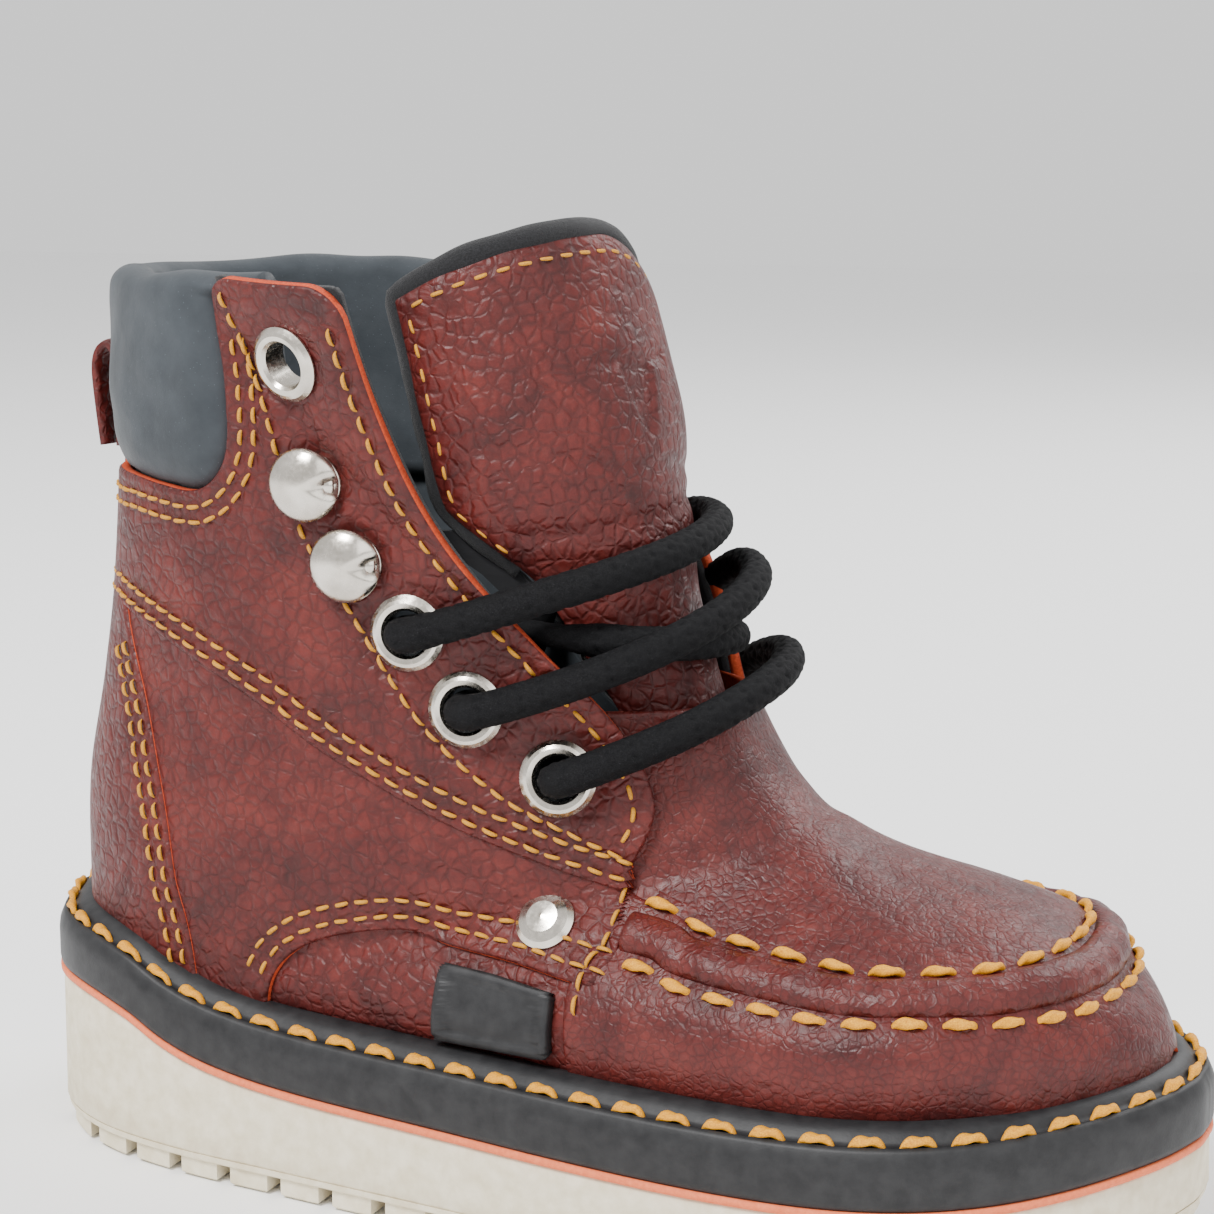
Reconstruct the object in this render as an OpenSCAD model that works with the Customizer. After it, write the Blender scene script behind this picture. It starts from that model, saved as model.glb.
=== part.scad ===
// Steel toe work boot for the right foot, in a child's size.
// Millimetres. +X points to the toe, +Z up, and -Y is the outer side of the foot.

/* [Upper] */
// Thickness of the outer leather
leather_t = 1.8; // [1.4:0.1:1.8]
// Thickness of the layer between the leather and the lining
mid_t = 1.2; // [0.8:0.1:1.2]
// Thickness of the lining
lining_t = 1.0; // [0.6:0.1:1]
// How far the padded collar bulges past the leather
collar_bulge = 0.6; // [0:0.1:1.2]
// Outward splay of the two facing tops at rest, in degrees
flap_splay = 22; // [0:1:26]

/* [Tongue] */
// Thickness of the padded tongue
tongue_t = 3.2; // [2:0.1:3.6]
// Height of the line where the tongue folds forward
tongue_fold_z = 100; // [99:0.5:101]

/* [Sole] */
// Height of the band of rubber round the upper
rand_h = 10.5; // [8:0.5:11]
// Thickness of the thin layer under the band
stripe_h = 1.2; // [0.8:0.1:2]
// Depth of the tread
tread_h = 4; // [3:0.5:5]
// Spacing of the tread bars
bar_pitch = 9; // [8:1:12]

/* [Metal] */
// Radius of an eyelet's flange
flange_r = 5.4; // [5:0.1:5.8]
// Radius of an eyelet's hole
hole_r = 3.2; // [3:0.1:3.4]
// Radius of a speed hook's domed head
hook_r = 5.2; // [4.6:0.1:5.4]
// Radius of a side rivet's cap
rivet_r = 4.3; // [3.6:0.1:4.6]

/* [Laces] */
// Diameter of the round lace
lace_d = 5; // [4:0.1:5]

/* [Stitching] */
// Thickness of the thick outside thread
thread_d = 1.4; // [1:0.1:1.6]

/* [Hidden] */

leather = [0.46, 0.19, 0.17];
leather_dark = [0.38, 0.15, 0.14];
felt = [0.15, 0.15, 0.15];
slate = [0.29, 0.32, 0.34];
black_rubber = [0.2, 0.2, 0.2];
cream = [0.92, 0.88, 0.78];
orange = [0.9, 0.4, 0.22];
gold = [0.94, 0.68, 0.16];
nickel = [0.78, 0.76, 0.72];
steel = [0.55, 0.57, 0.6];

// One row per girth line of the foot form: rear point (x, z), front point (x, z), half width,
// roundness of the rear and front halves, place of the widest point, and crown of the top.
GIRTHS = [
    [-75.4, 133.0, 2.0, 134.0, 31.0, 0.90, 0.78, 0.45, 0],
    [-76.0, 118.0, 5.5, 116.0, 30.5, 0.90, 0.76, 0.45, 0],
    [-76.6, 103.0, 9.5, 99.0, 29.5, 0.90, 0.74, 0.45, 0],
    [-78.0, 86.0, 14.0, 87.5, 28.8, 0.90, 0.72, 0.42, 0],
    [-80.8, 70.0, 19.5, 78.0, 28.6, 0.88, 0.72, 0.40, 0],
    [-83.0, 55.0, 24.0, 69.5, 29.0, 0.80, 0.74, 0.36, 0.002],
    [-82.6, 41.0, 28.0, 63.0, 29.2, 0.70, 0.74, 0.34, 0.004],
    [-81.0, 30.0, 31.0, 59.6, 29.0, 0.60, 0.74, 0.32, 0.006],
    [-77.0, 23.0, 34.0, 57.0, 28.8, 0.50, 0.74, 0.30, 0.008],
    [-66.0, 22.5, 37.0, 55.6, 29.5, 0.30, 0.72, 0.30, 0.009],
    [-42.0, 22.0, 40.0, 53.9, 31.0, 0.25, 0.66, 0.32, 0.010],
    [-15.0, 21.0, 43.5, 52.3, 32.5, 0.25, 0.58, 0.35, 0.010],
    [15.0, 19.5, 48.0, 50.8, 34.0, 0.25, 0.50, 0.40, 0.010],
    [38.0, 18.5, 53.5, 49.5, 34.6, 0.25, 0.44, 0.45, 0.010],
    [53.0, 19.0, 59.0, 48.3, 33.0, 0.25, 0.42, 0.48, 0.010],
    [63.0, 19.8, 65.0, 46.9, 29.6, 0.25, 0.42, 0.48, 0.010],
    [71.0, 20.6, 71.0, 44.4, 25.0, 0.25, 0.44, 0.48, 0.009],
    [77.0, 21.2, 76.6, 39.6, 19.0, 0.26, 0.50, 0.48, 0.007],
    [81.4, 22.0, 80.8, 35.6, 12.6, 0.30, 0.60, 0.48, 0.004],
    [84.0, 22.8, 83.6, 32.0, 7.4, 0.40, 0.80, 0.48, 0],
    [85.2, 24.5, 85.2, 29.0, 2.4, 0.80, 0.90, 0.50, 0]
];
// Girth lines at which a skin gets a ring of points
RINGS = [
    0, 1, 2, 3, 4, 5, 6, 7, 8, 9, 10, 11, 12, 13, 13.8, 14.6, 15.3, 16, 16.6, 17.2, 17.8, 18.4, 19, 19.5, 20
];
// Points round each ring
ROUND = 28;
gap = 0.05;
skin_out = 0;
mid_out = -leather_t - gap;
mid_in = mid_out - mid_t;
lining_out = mid_in - gap;
lining_in = lining_out - lining_t;

// Outline of the sole, outer side, heel to toe
SOLE_EDGE = [
    [-90.4, 0], [-90.2, 4.5], [-88, 12], [-81, 23], [-70, 30], [-55, 33.5], [-35, 35], [-10, 36.5],
    [15, 38.2], [38, 38.8], [55, 37.2], [68, 32.5], [78, 24.5], [86, 13.5], [89.5, 5], [90, 0]
];
// Top of the rubber band along the sole, as (x, z)
BAND_TOP = [
    [-95, 36], [-75, 36], [-64, 34.2], [-56, 31], [-47, 28.6], [-34, 27], [-10, 26], [30, 25], [60, 25.6],
    [95, 29]
];
// Foot of the leather skin along the sole, as (x, z)
FLOOR_LINE = [
    [-95, 23], [-66, 22.5], [-42, 22], [-15, 21], [15, 19.5], [38, 18.5], [60, 19.5], [77, 21.2], [95, 24.5]
];
board_h = 2.4;
footbed_h = 3;
// Height above the floor line where the wall layers end, and a depth below all of them
layers_foot = leather_t + board_h + 0.1;
deep = -30;

// Side outlines of the leather panels, as (x, z)
COLLAR_EDGE = [
    [-95, 102.5], [-68, 102.5], [-58, 101.9], [-50.5, 101.6], [-46, 104], [-43.5, 109], [-43.3, 118],
    [-44.3, 126], [-45, 140], [-95, 140]
];
FRONT_LATERAL = [[14.4, 52.2], [16.2, 56.3], [16.7, 60.4], [14.5, 66], [9.2, 73.4], [1.8, 80.7], [-7, 90.7],
    [-13.5, 101.8], [-18, 115.5], [-20.6, 127.6], [-21.5, 135.5]];
FRONT_MEDIAL = [[14.4, 52.2], [17.6, 56.3], [18.4, 60.4], [17, 66], [14, 73.4], [10.5, 80.7], [4, 90.7],
    [-6, 101.8], [-14, 115.5], [-19, 127.6], [-21.5, 135.5]];
MID_SEAM = [[-95, 84], [-70, 82.5], [-47, 75], [-29, 65], [-12, 57], [2, 52], [12, 49]];
PATCH_EDGE = [[-74, 81], [-72, 75.6], [-67, 65.6], [-63.5, 54.3], [-61.3, 42.5], [-58.7, 32.4], [-57, 10]];
ARCH = [
    [-41, 10], [-39, 30.4], [-36, 34.9], [-29.5, 38.3], [-18.4, 40.6], [-10.2, 39.6],
    [-0.3, 38.9], [8, 37.9], [12.6, 37.5]
];
VAMP_BACK = [[16, 49.8], [15.6, 45.4], [15, 41.4], [13.2, 38], [14, 10]];
// Top view of the seam round the plug, outer side, back to front, as (x, half width)
PLUG_EDGE = [
    [-30, 21], [16, 21.8], [26, 23.7], [36, 24.8], [48, 25.2], [56, 23.2], [64, 19.2], [69, 13.4],
    [71.4, 6.5], [72, 0]
];

// Fold line of each facing top, outer side: two points on the leather
FOLD_A = [-48.5, -31.4, 129.7];
FOLD_B = [-11, -26.2, 87.7];
flap_foot_z = 97;

// Places on the skin, as (girth line, place round it)
EYELETS = [[5.25, 0.71], [4.25, 0.64], [3.3, 0.6]];
TOP_EYELET = [0.75, 0.53];
HOOKS = [[1.8, 0.53], [2.55, 0.56]];
RIVET = [8.6, 0.63];

// Centre line x and radius of the tongue at each height
TONGUE = [
    [70, 7.5, 12.5], [80, 1.5, 15], [90, -4.5, 18.2], [100, -10.8, 21.8], [110, -13, 23], [120, -15.5, 23],
    [130, -18.3, 22.6], [140, -21, 22.4]
];
tongue_arc = 98;
// The tongue is narrower where the facings cover its edges
covered_arc = 80;
covered_z = 90;
tongue_top_z = 138;
tongue_corner_drop = 8;

function spline(k, t) =
    let (n = len(k) - 1, s = max(0, min(t, n - 0.0001)), i = floor(s), u = s - i)
    let (a = i > 0 ? k[i - 1] : 2 * k[0] - k[1], b = k[i], c = k[i + 1])
    let (d = i + 2 <= n ? k[i + 2] : 2 * k[n] - k[n - 1])
    0.5 * (2 * b + (c - a) * u + (2 * a - 5 * b + 4 * c - d) * u * u + (3 * b - a - 3 * c + d) * u * u * u);
function swing(x) = x > 20 ? 0.0006 * pow(x - 20, 2) : 0;
function height(line, x) =
    let (s = [for (i = [0:len(line) - 2]) if (x >= line[i][0] && x <= line[i + 1][0]) i])
    let (p = line[s[0]], r = line[s[0] + 1])
    p[1] + (r[1] - p[1]) * (x - p[0]) / (r[0] - p[0]);
// Point of the foot form at girth line t and place q (0 rear, 1 front, 2 rear again), set out by off
function skin(t, q, off) =
    let (inner = max(0, -off), s = spline(GIRTHS, t - inner * 0.35 * pow(max(0, (t - 14) / 6), 2)))
    let (rear = [s[0], s[1]], front = [s[2], s[3]], run = norm(front - rear), way = (front - rear) / run)
    let (v = q <= 1 ? q : 2 - q, side = q <= 1 ? -1 : 1, a = 0.5 - 0.5 * cos(180 * v))
    let (u = a < s[7] ? 1 - a / s[7] : (a - s[7]) / (1 - s[7]), roundness = a < s[7] ? s[5] : s[6])
    let (bulge = pow(max(0, 1 - u * u), roundness / 2))
    let (p = rear - off * way + way * (run + 2 * off) * a, y = side * (s[4] + off) * bulge)
    let (x = p[0] + off * max(0, min(1, (t - 13) / 7)))
    [x, y + swing(x), p[1] - s[8] * y * y * a * a * a];
function skin_normal(t, q) =
    let (a = skin(t + 0.01, q, 0) - skin(t - 0.01, q, 0), b = skin(t, q + 0.01, 0) - skin(t, q - 0.01, 0))
    let (n = cross(a, b))
    n / norm(n);
function turned(list) = [for (i = [len(list) - 1:-1:0]) list[i]];
function place(spot, side) = side < 0 ? [spot[0], spot[1]] : [spot[0], 2 - spot[1]];

// Closed skin between two offsets of the foot form, open at the ankle
module shell(outer, inner) {
    n = len(RINGS);
    m = ROUND;
    pts = [for (off = [outer, inner]) for (t = RINGS) for (j = [0:m - 1]) skin(t, 2 * j / m, off)];
    wall = [for (i = [0:n - 2]) for (j = [0:m - 1])
        let (a = i * m + j, b = i * m + (j + 1) % m, c = a + m, d = b + m) each [[a, b, d], [a, d, c]]];
    back = [for (f = wall) [f[2] + n * m, f[1] + n * m, f[0] + n * m]];
    rim = [for (j = [0:m - 1])
        let (a = j, b = (j + 1) % m) each [[b, a, a + n * m], [b, a + n * m, b + n * m]]];
    tip = (n - 1) * m;
    nose = [for (j = [1:m - 2]) [tip, tip + j, tip + j + 1]];
    inside = [for (f = nose) [f[2] + n * m, f[1] + n * m, f[0] + n * m]];
    polyhedron(points = pts, faces = concat(wall, back, rim, nose, inside), convexity = 8);
}

// Solid filling the foot form out to an offset
module form(off) {
    n = len(RINGS);
    m = ROUND;
    pts = [for (t = RINGS) for (j = [0:m - 1]) skin(t, 2 * j / m, off)];
    wall = [for (i = [0:n - 2]) for (j = [0:m - 1])
        let (a = i * m + j, b = i * m + (j + 1) % m, c = a + m, d = b + m) each [[a, b, d], [a, d, c]]];
    top = [for (j = [1:m - 2]) [0, j + 1, j]];
    tip = (n - 1) * m;
    nose = [for (j = [1:m - 2]) [tip, tip + j, tip + j + 1]];
    polyhedron(points = pts, faces = concat(wall, top, nose), convexity = 8);
}

// Side outline pushed through the boot on one side, or right across it when side is 0
module cut_side(side) {
    reach = 60;
    if (side == 0) translate([0, reach, 0]) rotate([90, 0, 0]) linear_extrude(2 * reach) children();
    if (side < 0) rotate([90, 0, 0]) linear_extrude(reach) children();
    if (side > 0) translate([0, reach, 0]) rotate([90, 0, 0]) linear_extrude(reach) children();
}
module collar_area() polygon(COLLAR_EDGE);
module front_area(side) {
    edge = side < 0 ? FRONT_LATERAL : FRONT_MEDIAL;
    polygon(concat(edge, [[-21.5, 150], [120, 150], [120, 50], [15.4, 50]]));
}
module above_mid_seam() polygon(concat(MID_SEAM, [[14.4, 52.2], [40, 60], [40, 150], [-95, 150]]));
module patch_area() polygon(concat([[-95, 84], [-74, 83]], PATCH_EDGE, [[-95, 10]]));
module arch_area() polygon(concat(ARCH, [[14, 10]]));
module vamp_area() polygon(concat([[14.4, 52.2]], VAMP_BACK, [[120, 10], [120, 60], [20, 60]]));
// Half the gap left along a facing top's fold line
fold_gap = 0.6;
module fold_area(shift) {
    way = [FOLD_B[0] - FOLD_A[0], FOLD_B[2] - FOLD_A[2]];
    across = [-way[1], way[0]] / norm(way);
    a = [FOLD_A[0], FOLD_A[2]] + shift * across - way;
    b = [FOLD_B[0], FOLD_B[2]] + shift * across + way;
    intersection() {
        polygon([a, b, b + 90 * across, a + 90 * across]);
        translate([-95, flap_foot_z + shift]) square([150, 60]);
    }
}
module under_foot(low, high) {
    cut_side(0) polygon(concat([for (p = FLOOR_LINE) [p[0], p[1] + low]],
        [for (i = [len(FLOOR_LINE) - 1:-1:0]) [FLOOR_LINE[i][0], FLOOR_LINE[i][1] + high]]));
}
module plug_column() {
    edge = [for (t = [0:0.5:len(PLUG_EDGE) - 1]) spline(PLUG_EDGE, t)];
    near = [for (p = edge) [p[0], -p[1] + swing(p[0])]];
    far = [for (i = [len(edge) - 2:-1:0]) [edge[i][0], edge[i][1] + swing(edge[i][0])]];
    translate([0, 0, 36]) linear_extrude(90) polygon(concat(near, far));
}
// Holes for the eyelets and rivets of one side
module hole_at(spot, side, r) {
    s = place(spot, side);
    p = skin(s[0], s[1], 0);
    n = skin_normal(s[0], s[1]);
    translate(p) rotate([0, acos(n[2]), atan2(n[1], n[0])]) cylinder(r = r, h = 18, center = true, $fn = 16);
}
module facing_holes(side) {
    for (e = EYELETS) hole_at(e, side, hole_r + 0.6);
    for (h = HOOKS) hole_at(h, side, 1.5);
}
// Turn a facing top about its fold line
module splayed(side, angle) {
    if (side < 0) translate(FOLD_A) rotate(a = angle, v = FOLD_B - FOLD_A) translate(-FOLD_A) children();
    else mirror([0, 1, 0]) splayed(-1, angle) mirror([0, 1, 0]) children();
}

// One layer of the quarter above the mid seam, without the collar and the facing top
module quarter_top(side, outer, inner) {
    difference() {
        intersection() {
            shell(outer, inner);
            cut_side(side) difference() {
                above_mid_seam();
                collar_area();
                front_area(side);
                fold_area(-fold_gap);
            }
        }
        facing_holes(side);
    }
}
module quarter_upper(side) color(leather) quarter_top(side, skin_out, -leather_t);
module quarter_lower(side) {
    color(leather) difference() {
        intersection() {
            shell(skin_out, -leather_t);
            cut_side(side) difference() {
                polygon([[-95, 10], [-95, 90], [60, 90], [60, 10]]);
                above_mid_seam();
                patch_area();
                arch_area();
                vamp_area();
                front_area(side);
            }
        }
        hole_at(RIVET, side, 1.7);
    }
}
module side_panel(side) {
    color(leather_dark) intersection() {
        shell(skin_out, -leather_t);
        cut_side(side) arch_area();
    }
}
module heel_patch() {
    color(leather_dark) intersection() {
        shell(skin_out, -leather_t);
        cut_side(0) difference() {
            patch_area();
            above_mid_seam();
        }
    }
}
module vamp_wall() {
    color(leather) difference() {
        intersection() {
            shell(skin_out, -leather_t);
            cut_side(0) vamp_area();
        }
        plug_column();
    }
}
module vamp_plug() {
    throat_z = 73;
    color(leather_dark) difference() {
        intersection() {
            shell(skin_out, -leather_t);
            plug_column();
            translate([0, -60, 0]) cube([120, 120, throat_z]);
        }
        cut_side(-1) difference() {
            translate([-10, 30]) square([60, 60]);
            front_area(-1);
            vamp_area();
        }
        cut_side(1) difference() {
            translate([-10, 30]) square([60, 60]);
            front_area(1);
            vamp_area();
        }
    }
}
// Rear-to-front place and height of girth line t on the top of the skin, y from the middle
function crest(t, y) =
    let (s = spline(GIRTHS, t), u = sqrt(max(0, 1 - pow(min(1, y / s[4]), 2 / s[6]))))
    let (a = s[7] + (1 - s[7]) * u)
    [s[0] + (s[2] - s[0]) * a, s[1] + (s[3] - s[1]) * a - s[8] * y * y * a * a * a];
function crest_z(x, y, low = 4, high = 20, halvings = 24) =
    let (t = (low + high) / 2, c = crest(t, y))
    halvings == 0 ? c[1]
    : c[0] < x ? crest_z(x, y, t, high, halvings - 1)
    : crest_z(x, y, low, t, halvings - 1);
// Line beside the plug's seam, out from it by d, as (x, half width), with a point every step of the outline
function beside_seam(d, step) =
    [for (t = [1:step:len(PLUG_EDGE) - 1])
        let (p = spline(PLUG_EDGE, t), v = spline(PLUG_EDGE, t + 0.05) - spline(PLUG_EDGE, t - 0.05))
        let (u = v / norm(v))
        [p[0] - d * u[1], max(0, p[1] + d * u[0])]];
function on_top(p, side, lift) = [p[0], side * p[1] + swing(p[0]), crest_z(p[0], p[1]) + lift];

// Rolled ridge that stands on the wall just outside the plug
ridge_r = 2.3;
ridge_out = 2.6;
module moc_ridge() {
    line = beside_seam(ridge_out, 0.5);
    n = len(line);
    path = concat([for (p = line) on_top(p, -1, 0)], [for (i = [n - 2:-1:0]) on_top(line[i], 1, 0)]);
    color(leather) difference() {
        tube(path, ridge_r, 8);
        form(gap);
    }
}

// Tube of radius r, or of one radius for each point, swept along a list of points, closed at both ends
module tube(path, r, sides) {
    n = len(path);
    radii = is_list(r) ? r : [for (p = path) r];
    way = [for (i = [0:n - 1]) let (d = path[min(i + 1, n - 1)] - path[max(i - 1, 0)]) d / norm(d)];
    up = [for (i = 0, u = start_up(way[0]); i < n; i = i + 1, u = i < n ? square_to(u, way[i]) : u)
        square_to(u, way[i])];
    pts = [for (i = [0:n - 1]) for (k = [0:sides - 1])
        path[i] + radii[i] * (cos(360 * k / sides) * up[i] + sin(360 * k / sides) * cross(way[i], up[i]))];
    wall = [for (i = [0:n - 2]) for (k = [0:sides - 1])
        let (a = i * sides + k, b = i * sides + (k + 1) % sides)
        each [[a, a + sides, b + sides], [a, b + sides, b]]];
    first = [for (k = [0:sides - 1]) k];
    last = [for (k = [sides - 1:-1:0]) (n - 1) * sides + k];
    polyhedron(points = pts, faces = concat(wall, [first, last]), convexity = 10);
}
function start_up(d) = let (a = abs(d[2]) < 0.9 ? [0, 0, 1] : [1, 0, 0]) square_to(a, d);
function square_to(u, d) = let (v = u - (u * d) * d) v / norm(v);

// Inner layers
// Bare strip inside a facing's front edge, where the lace passes
lace_room = 7;
module throat_and_flaps(side) {
    front_area(side);
    fold_area(-fold_gap);
}
module toe_cap() {
    color(steel) difference() {
        intersection() {
            shell(mid_out, mid_in);
            translate([57, -60, 0]) cube([60, 120, 80]);
        }
        under_foot(deep, layers_foot);
    }
}
module heel_stiffener() {
    color(felt) difference() {
        intersection() {
            shell(mid_out, mid_in);
            cut_side(0) polygon([[-95, 20], [-48, 20], [-50, 50], [-60, 72], [-95, 76]]);
        }
        under_foot(deep, layers_foot);
    }
}
module interlining(side) {
    color(felt) difference() {
        intersection() {
            shell(mid_out, mid_in);
            cut_side(side) difference() {
                polygon([[-95, 10], [-95, 140], [30, 140], [30, 66], [12, 50], [12, 10]]);
                collar_area();
                throat_and_flaps(side);
                offset(delta = lace_room) front_area(side);
                polygon([[-95, 20], [-47.7, 20], [-49.7, 50.2], [-59.8, 72.4], [-95, 76.4]]);
                polygon([[-30, 36], [-30, 10], [-95, 10], [-95, 25]]);
            }
        }
        under_foot(deep, layers_foot);
        facing_holes(side);
        hole_at(RIVET, side, 3);
    }
}
module quarter_lining(side) {
    color(felt) difference() {
        intersection() {
            shell(lining_out, lining_in);
            cut_side(side) difference() {
                polygon([
                    [-95, 10], [-95, 132.6], [-45, 133.4], [-41, 125], [-36, 108], [-29, 90], [-20, 74],
                    [-9, 62], [4, 52], [10, 46], [10, 10]
                ]);
                fold_area(-fold_gap);
            }
        }
        under_foot(deep, layers_foot);
    }
}
module vamp_lining() {
    color(felt) difference() {
        intersection() {
            shell(lining_out, lining_in);
            cut_side(0) polygon([[10.1, 10], [10.1, 46], [22, 52], [34, 60], [90, 60], [90, 10]]);
        }
        under_foot(deep, layers_foot);
    }
}
module insole_board() {
    color([0.7, 0.6, 0.45]) intersection() {
        form(-leather_t - 2 * gap);
        under_foot(leather_t + 0.2, leather_t + board_h);
    }
}
module footbed() {
    color(felt) intersection() {
        form(lining_in - 0.1);
        under_foot(layers_foot, leather_t + board_h + footbed_h);
    }
}
module shank_space() translate([-48, -6, 11]) cube([70, 12, 1.2]);
module shank() color(steel) shank_space();

// Ring of points round the sole, set out by d, at the height that the line gives plus lift
function edge_half(d) =
    let (c = [for (t = [0:0.5:len(SOLE_EDGE) - 1]) spline(SOLE_EDGE, t)], n = len(c))
    [for (i = [0:n - 1])
        let (s = i == 0 ? [0, 1] : i == n - 1 ? [0, -1] : c[i + 1] - c[i - 1], u = s / norm(s))
        [c[i][0] - u[1] * d, max(0.01, c[i][1] + u[0] * d)]];
function sole_ring(d, line, lift) =
    let (c = edge_half(d), n = len(c))
    concat([for (p = c) [p[0], -p[1] + swing(p[0]), height(line, p[0]) + lift]],
        [for (i = [n - 1:-1:0]) [c[i][0], c[i][1] + swing(c[i][0]), height(line, c[i][0]) + lift]]);
module sole_layer(rings) {
    n = len(rings);
    m = len(rings[0]);
    h = m / 2;
    pts = [for (r = rings) each r];
    wall = [for (i = [0:n - 2]) for (j = [0:m - 1])
        let (a = i * m + j, b = i * m + (j + 1) % m) each [[a, a + m, b + m], [a, b + m, b]]];
    lid = [for (j = [0:h - 2]) [j, j + 1, m - 2 - j, m - 1 - j]];
    top = (n - 1) * m;
    roof = [for (f = lid) [f[3] + top, f[2] + top, f[1] + top, f[0] + top]];
    polyhedron(points = pts, faces = concat(lid, wall, roof), convexity = 6);
}
// Height of the foot of the sole: flat under the heel and the ball, lifting at the toe
GROUND = [[-100, 0], [30, 0], [45, 0.5], [60, 1.5], [75, 3.1], [100, 6.5]];
BAND_FOOT = [for (p = BAND_TOP) [p[0], p[1] - rand_h - stripe_h]];
module rand() {
    top = BAND_TOP;
    color(black_rubber) difference() {
        sole_layer([
            sole_ring(-0.5, top, -rand_h), sole_ring(0, top, -rand_h + 0.6), sole_ring(0, top, -4.6),
            sole_ring(-0.7, top, -2.4), sole_ring(-2.4, top, -0.8), sole_ring(-4.4, top, -0.1),
            sole_ring(-6.5, top, 0)
        ]);
        form(0.05);
    }
}
module stripe() {
    color(orange) difference() {
        sole_layer([sole_ring(0, BAND_FOOT, 0), sole_ring(0, BAND_FOOT, stripe_h - 0.02)]);
        form(0.05);
    }
}
module midsole() {
    color(cream) difference() {
        sole_layer([sole_ring(-0.4, GROUND, tread_h), sole_ring(-0.2, BAND_FOOT, -0.02)]);
        form(0.05);
        shank_space();
    }
}
module outsole() {
    groove_w = 2.4;
    color(cream) difference() {
        sole_layer([sole_ring(-1.2, GROUND, 0), sole_ring(-0.4, GROUND, tread_h - 0.02)]);
        for (x = [-78:bar_pitch:78])
            translate([x, -60, -1]) cube([groove_w, 120, 3 + max(0, (x - 40) * 0.055)]);
    }
}
module rand_stitching() {
    inset = 1.9;
    sunk = 0.6;
    between = 1.4;
    pitch_wanted = 6.6;
    spots = [for (t = [0:0.02:len(SOLE_EDGE) - 1]) spline(SOLE_EDGE, t)];
    n = len(spots);
    // Length along the outline up to each spot
    run = [for (i = 0, s = 0; i < n; i = i + 1, s = i < n ? s + norm(spots[i] - spots[i - 1]) : s) s];
    count = round(run[n - 1] / pitch_wanted);
    pitch = run[n - 1] / count;
    color(gold) for (side = [-1, 1]) for (k = [0:count - 1]) {
        i = [for (j = [1:n - 1]) if (run[j] >= (k + 0.5) * pitch) j][0];
        u = (spots[i] - spots[i - 1]) / norm(spots[i] - spots[i - 1]);
        x = spots[i][0] + u[1] * inset;
        y = spots[i][1] - u[0] * inset;
        lean = atan2(height(BAND_TOP, x + 1) - height(BAND_TOP, x - 1), 2) * u[0];
        translate([x, side * y + swing(x), height(BAND_TOP, x) - sunk])
            rotate([0, 0, side * atan2(u[1], u[0])]) rotate([0, 90 - lean, 0])
            translate([0, 0, -(pitch - between) / 2]) cylinder(d = thread_d, h = pitch - between, $fn = 16);
    }
}
module moc_stitching() {
    inset = -0.9;
    lift = 0.5;
    line = beside_seam(inset, 0.25);
    color(gold) for (side = [-1, 1]) for (i = [0:2:len(line) - 3])
        thread(on_top(line[i], side, lift), on_top(line[i + 1], side, lift), thread_d);
}
// One straight stitch between two points
module thread(a, b, d) {
    v = b - a;
    translate(a) rotate([0, acos(v[2] / norm(v)), atan2(v[1], v[0])]) cylinder(d = d, h = norm(v), $fn = 16);
}

// Padded collar
module collar_pad() {
    color(slate) difference() {
        intersection() {
            shell(collar_bulge, lining_out + 0.05);
            cut_side(0) intersection() {
                collar_area();
                translate([-95, 0]) square([95, 132.8]);
            }
        }
        for (side = [-1, 1]) splayed(side, flap_splay) cut_side(side) fold_area(-0.2);
    }
}

// Facing tops, each turned about its fold line
module flap_layer(side, outer, inner) {
    splayed(side, flap_splay) difference() {
        intersection() {
            shell(outer, inner);
            cut_side(side) difference() {
                fold_area(fold_gap);
                front_area(side);
                polygon([[-95, 90], [-44.6, 90], [-44.6, 150], [-95, 150]]);
            }
        }
        hole_at(TOP_EYELET, side, hole_r + 0.6);
    }
}
module flap(side) color(leather) flap_layer(side, skin_out, -leather_t);
module flap_backing(side) color(felt) flap_layer(side, mid_out, mid_in);

// Metal parts, drawn on the flat with the outside facing up
barrel_t = 0.5;
barrel_foot = -3.2;
// Height at which a metal flange stands on the leather
seat = 0.02;
module eyelet() {
    color(nickel) rotate_extrude($fn = 48) polygon([
        [hole_r, barrel_foot], [hole_r + barrel_t, barrel_foot], [hole_r + barrel_t, seat], [flange_r, seat],
        [flange_r, 0.3], [flange_r - 0.6, 0.8], [hole_r + 1.1, 1.05], [hole_r + 0.4, 0.9], [hole_r, 0.4]
    ]);
}
module washer() {
    rim = flange_r - 0.4;
    bore = hole_r + barrel_t + gap;
    top = barrel_foot - gap;
    foot = top - 0.55;
    color(nickel) rotate_extrude($fn = 48) polygon([[bore, foot], [rim, foot], [rim, top], [bore, top]]);
}
module speed_hook() {
    head_z = 2.6;
    pin_r = 1.4;
    base_r = 3.4;
    color(nickel) {
        rotate_extrude($fn = 48) polygon([
            [0, -3.1], [pin_r, -3.1], [pin_r, seat], [base_r, seat], [base_r, 0.5], [base_r - 0.8, 0.9],
            [0, 0.9]
        ]);
        translate([2.2, -1.8, 0.3]) cube([1.2, 3.6, head_z + 0.6]);
        translate([-0.6, 0, head_z]) rotate_extrude($fn = 48) polygon([
            [0, 0], [hook_r - 0.3, 0], [hook_r, 0.35], [hook_r - 0.6, 0.9], [hook_r - 2, 1.5], [1.6, 1.9],
            [0, 2]
        ]);
    }
}
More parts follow.
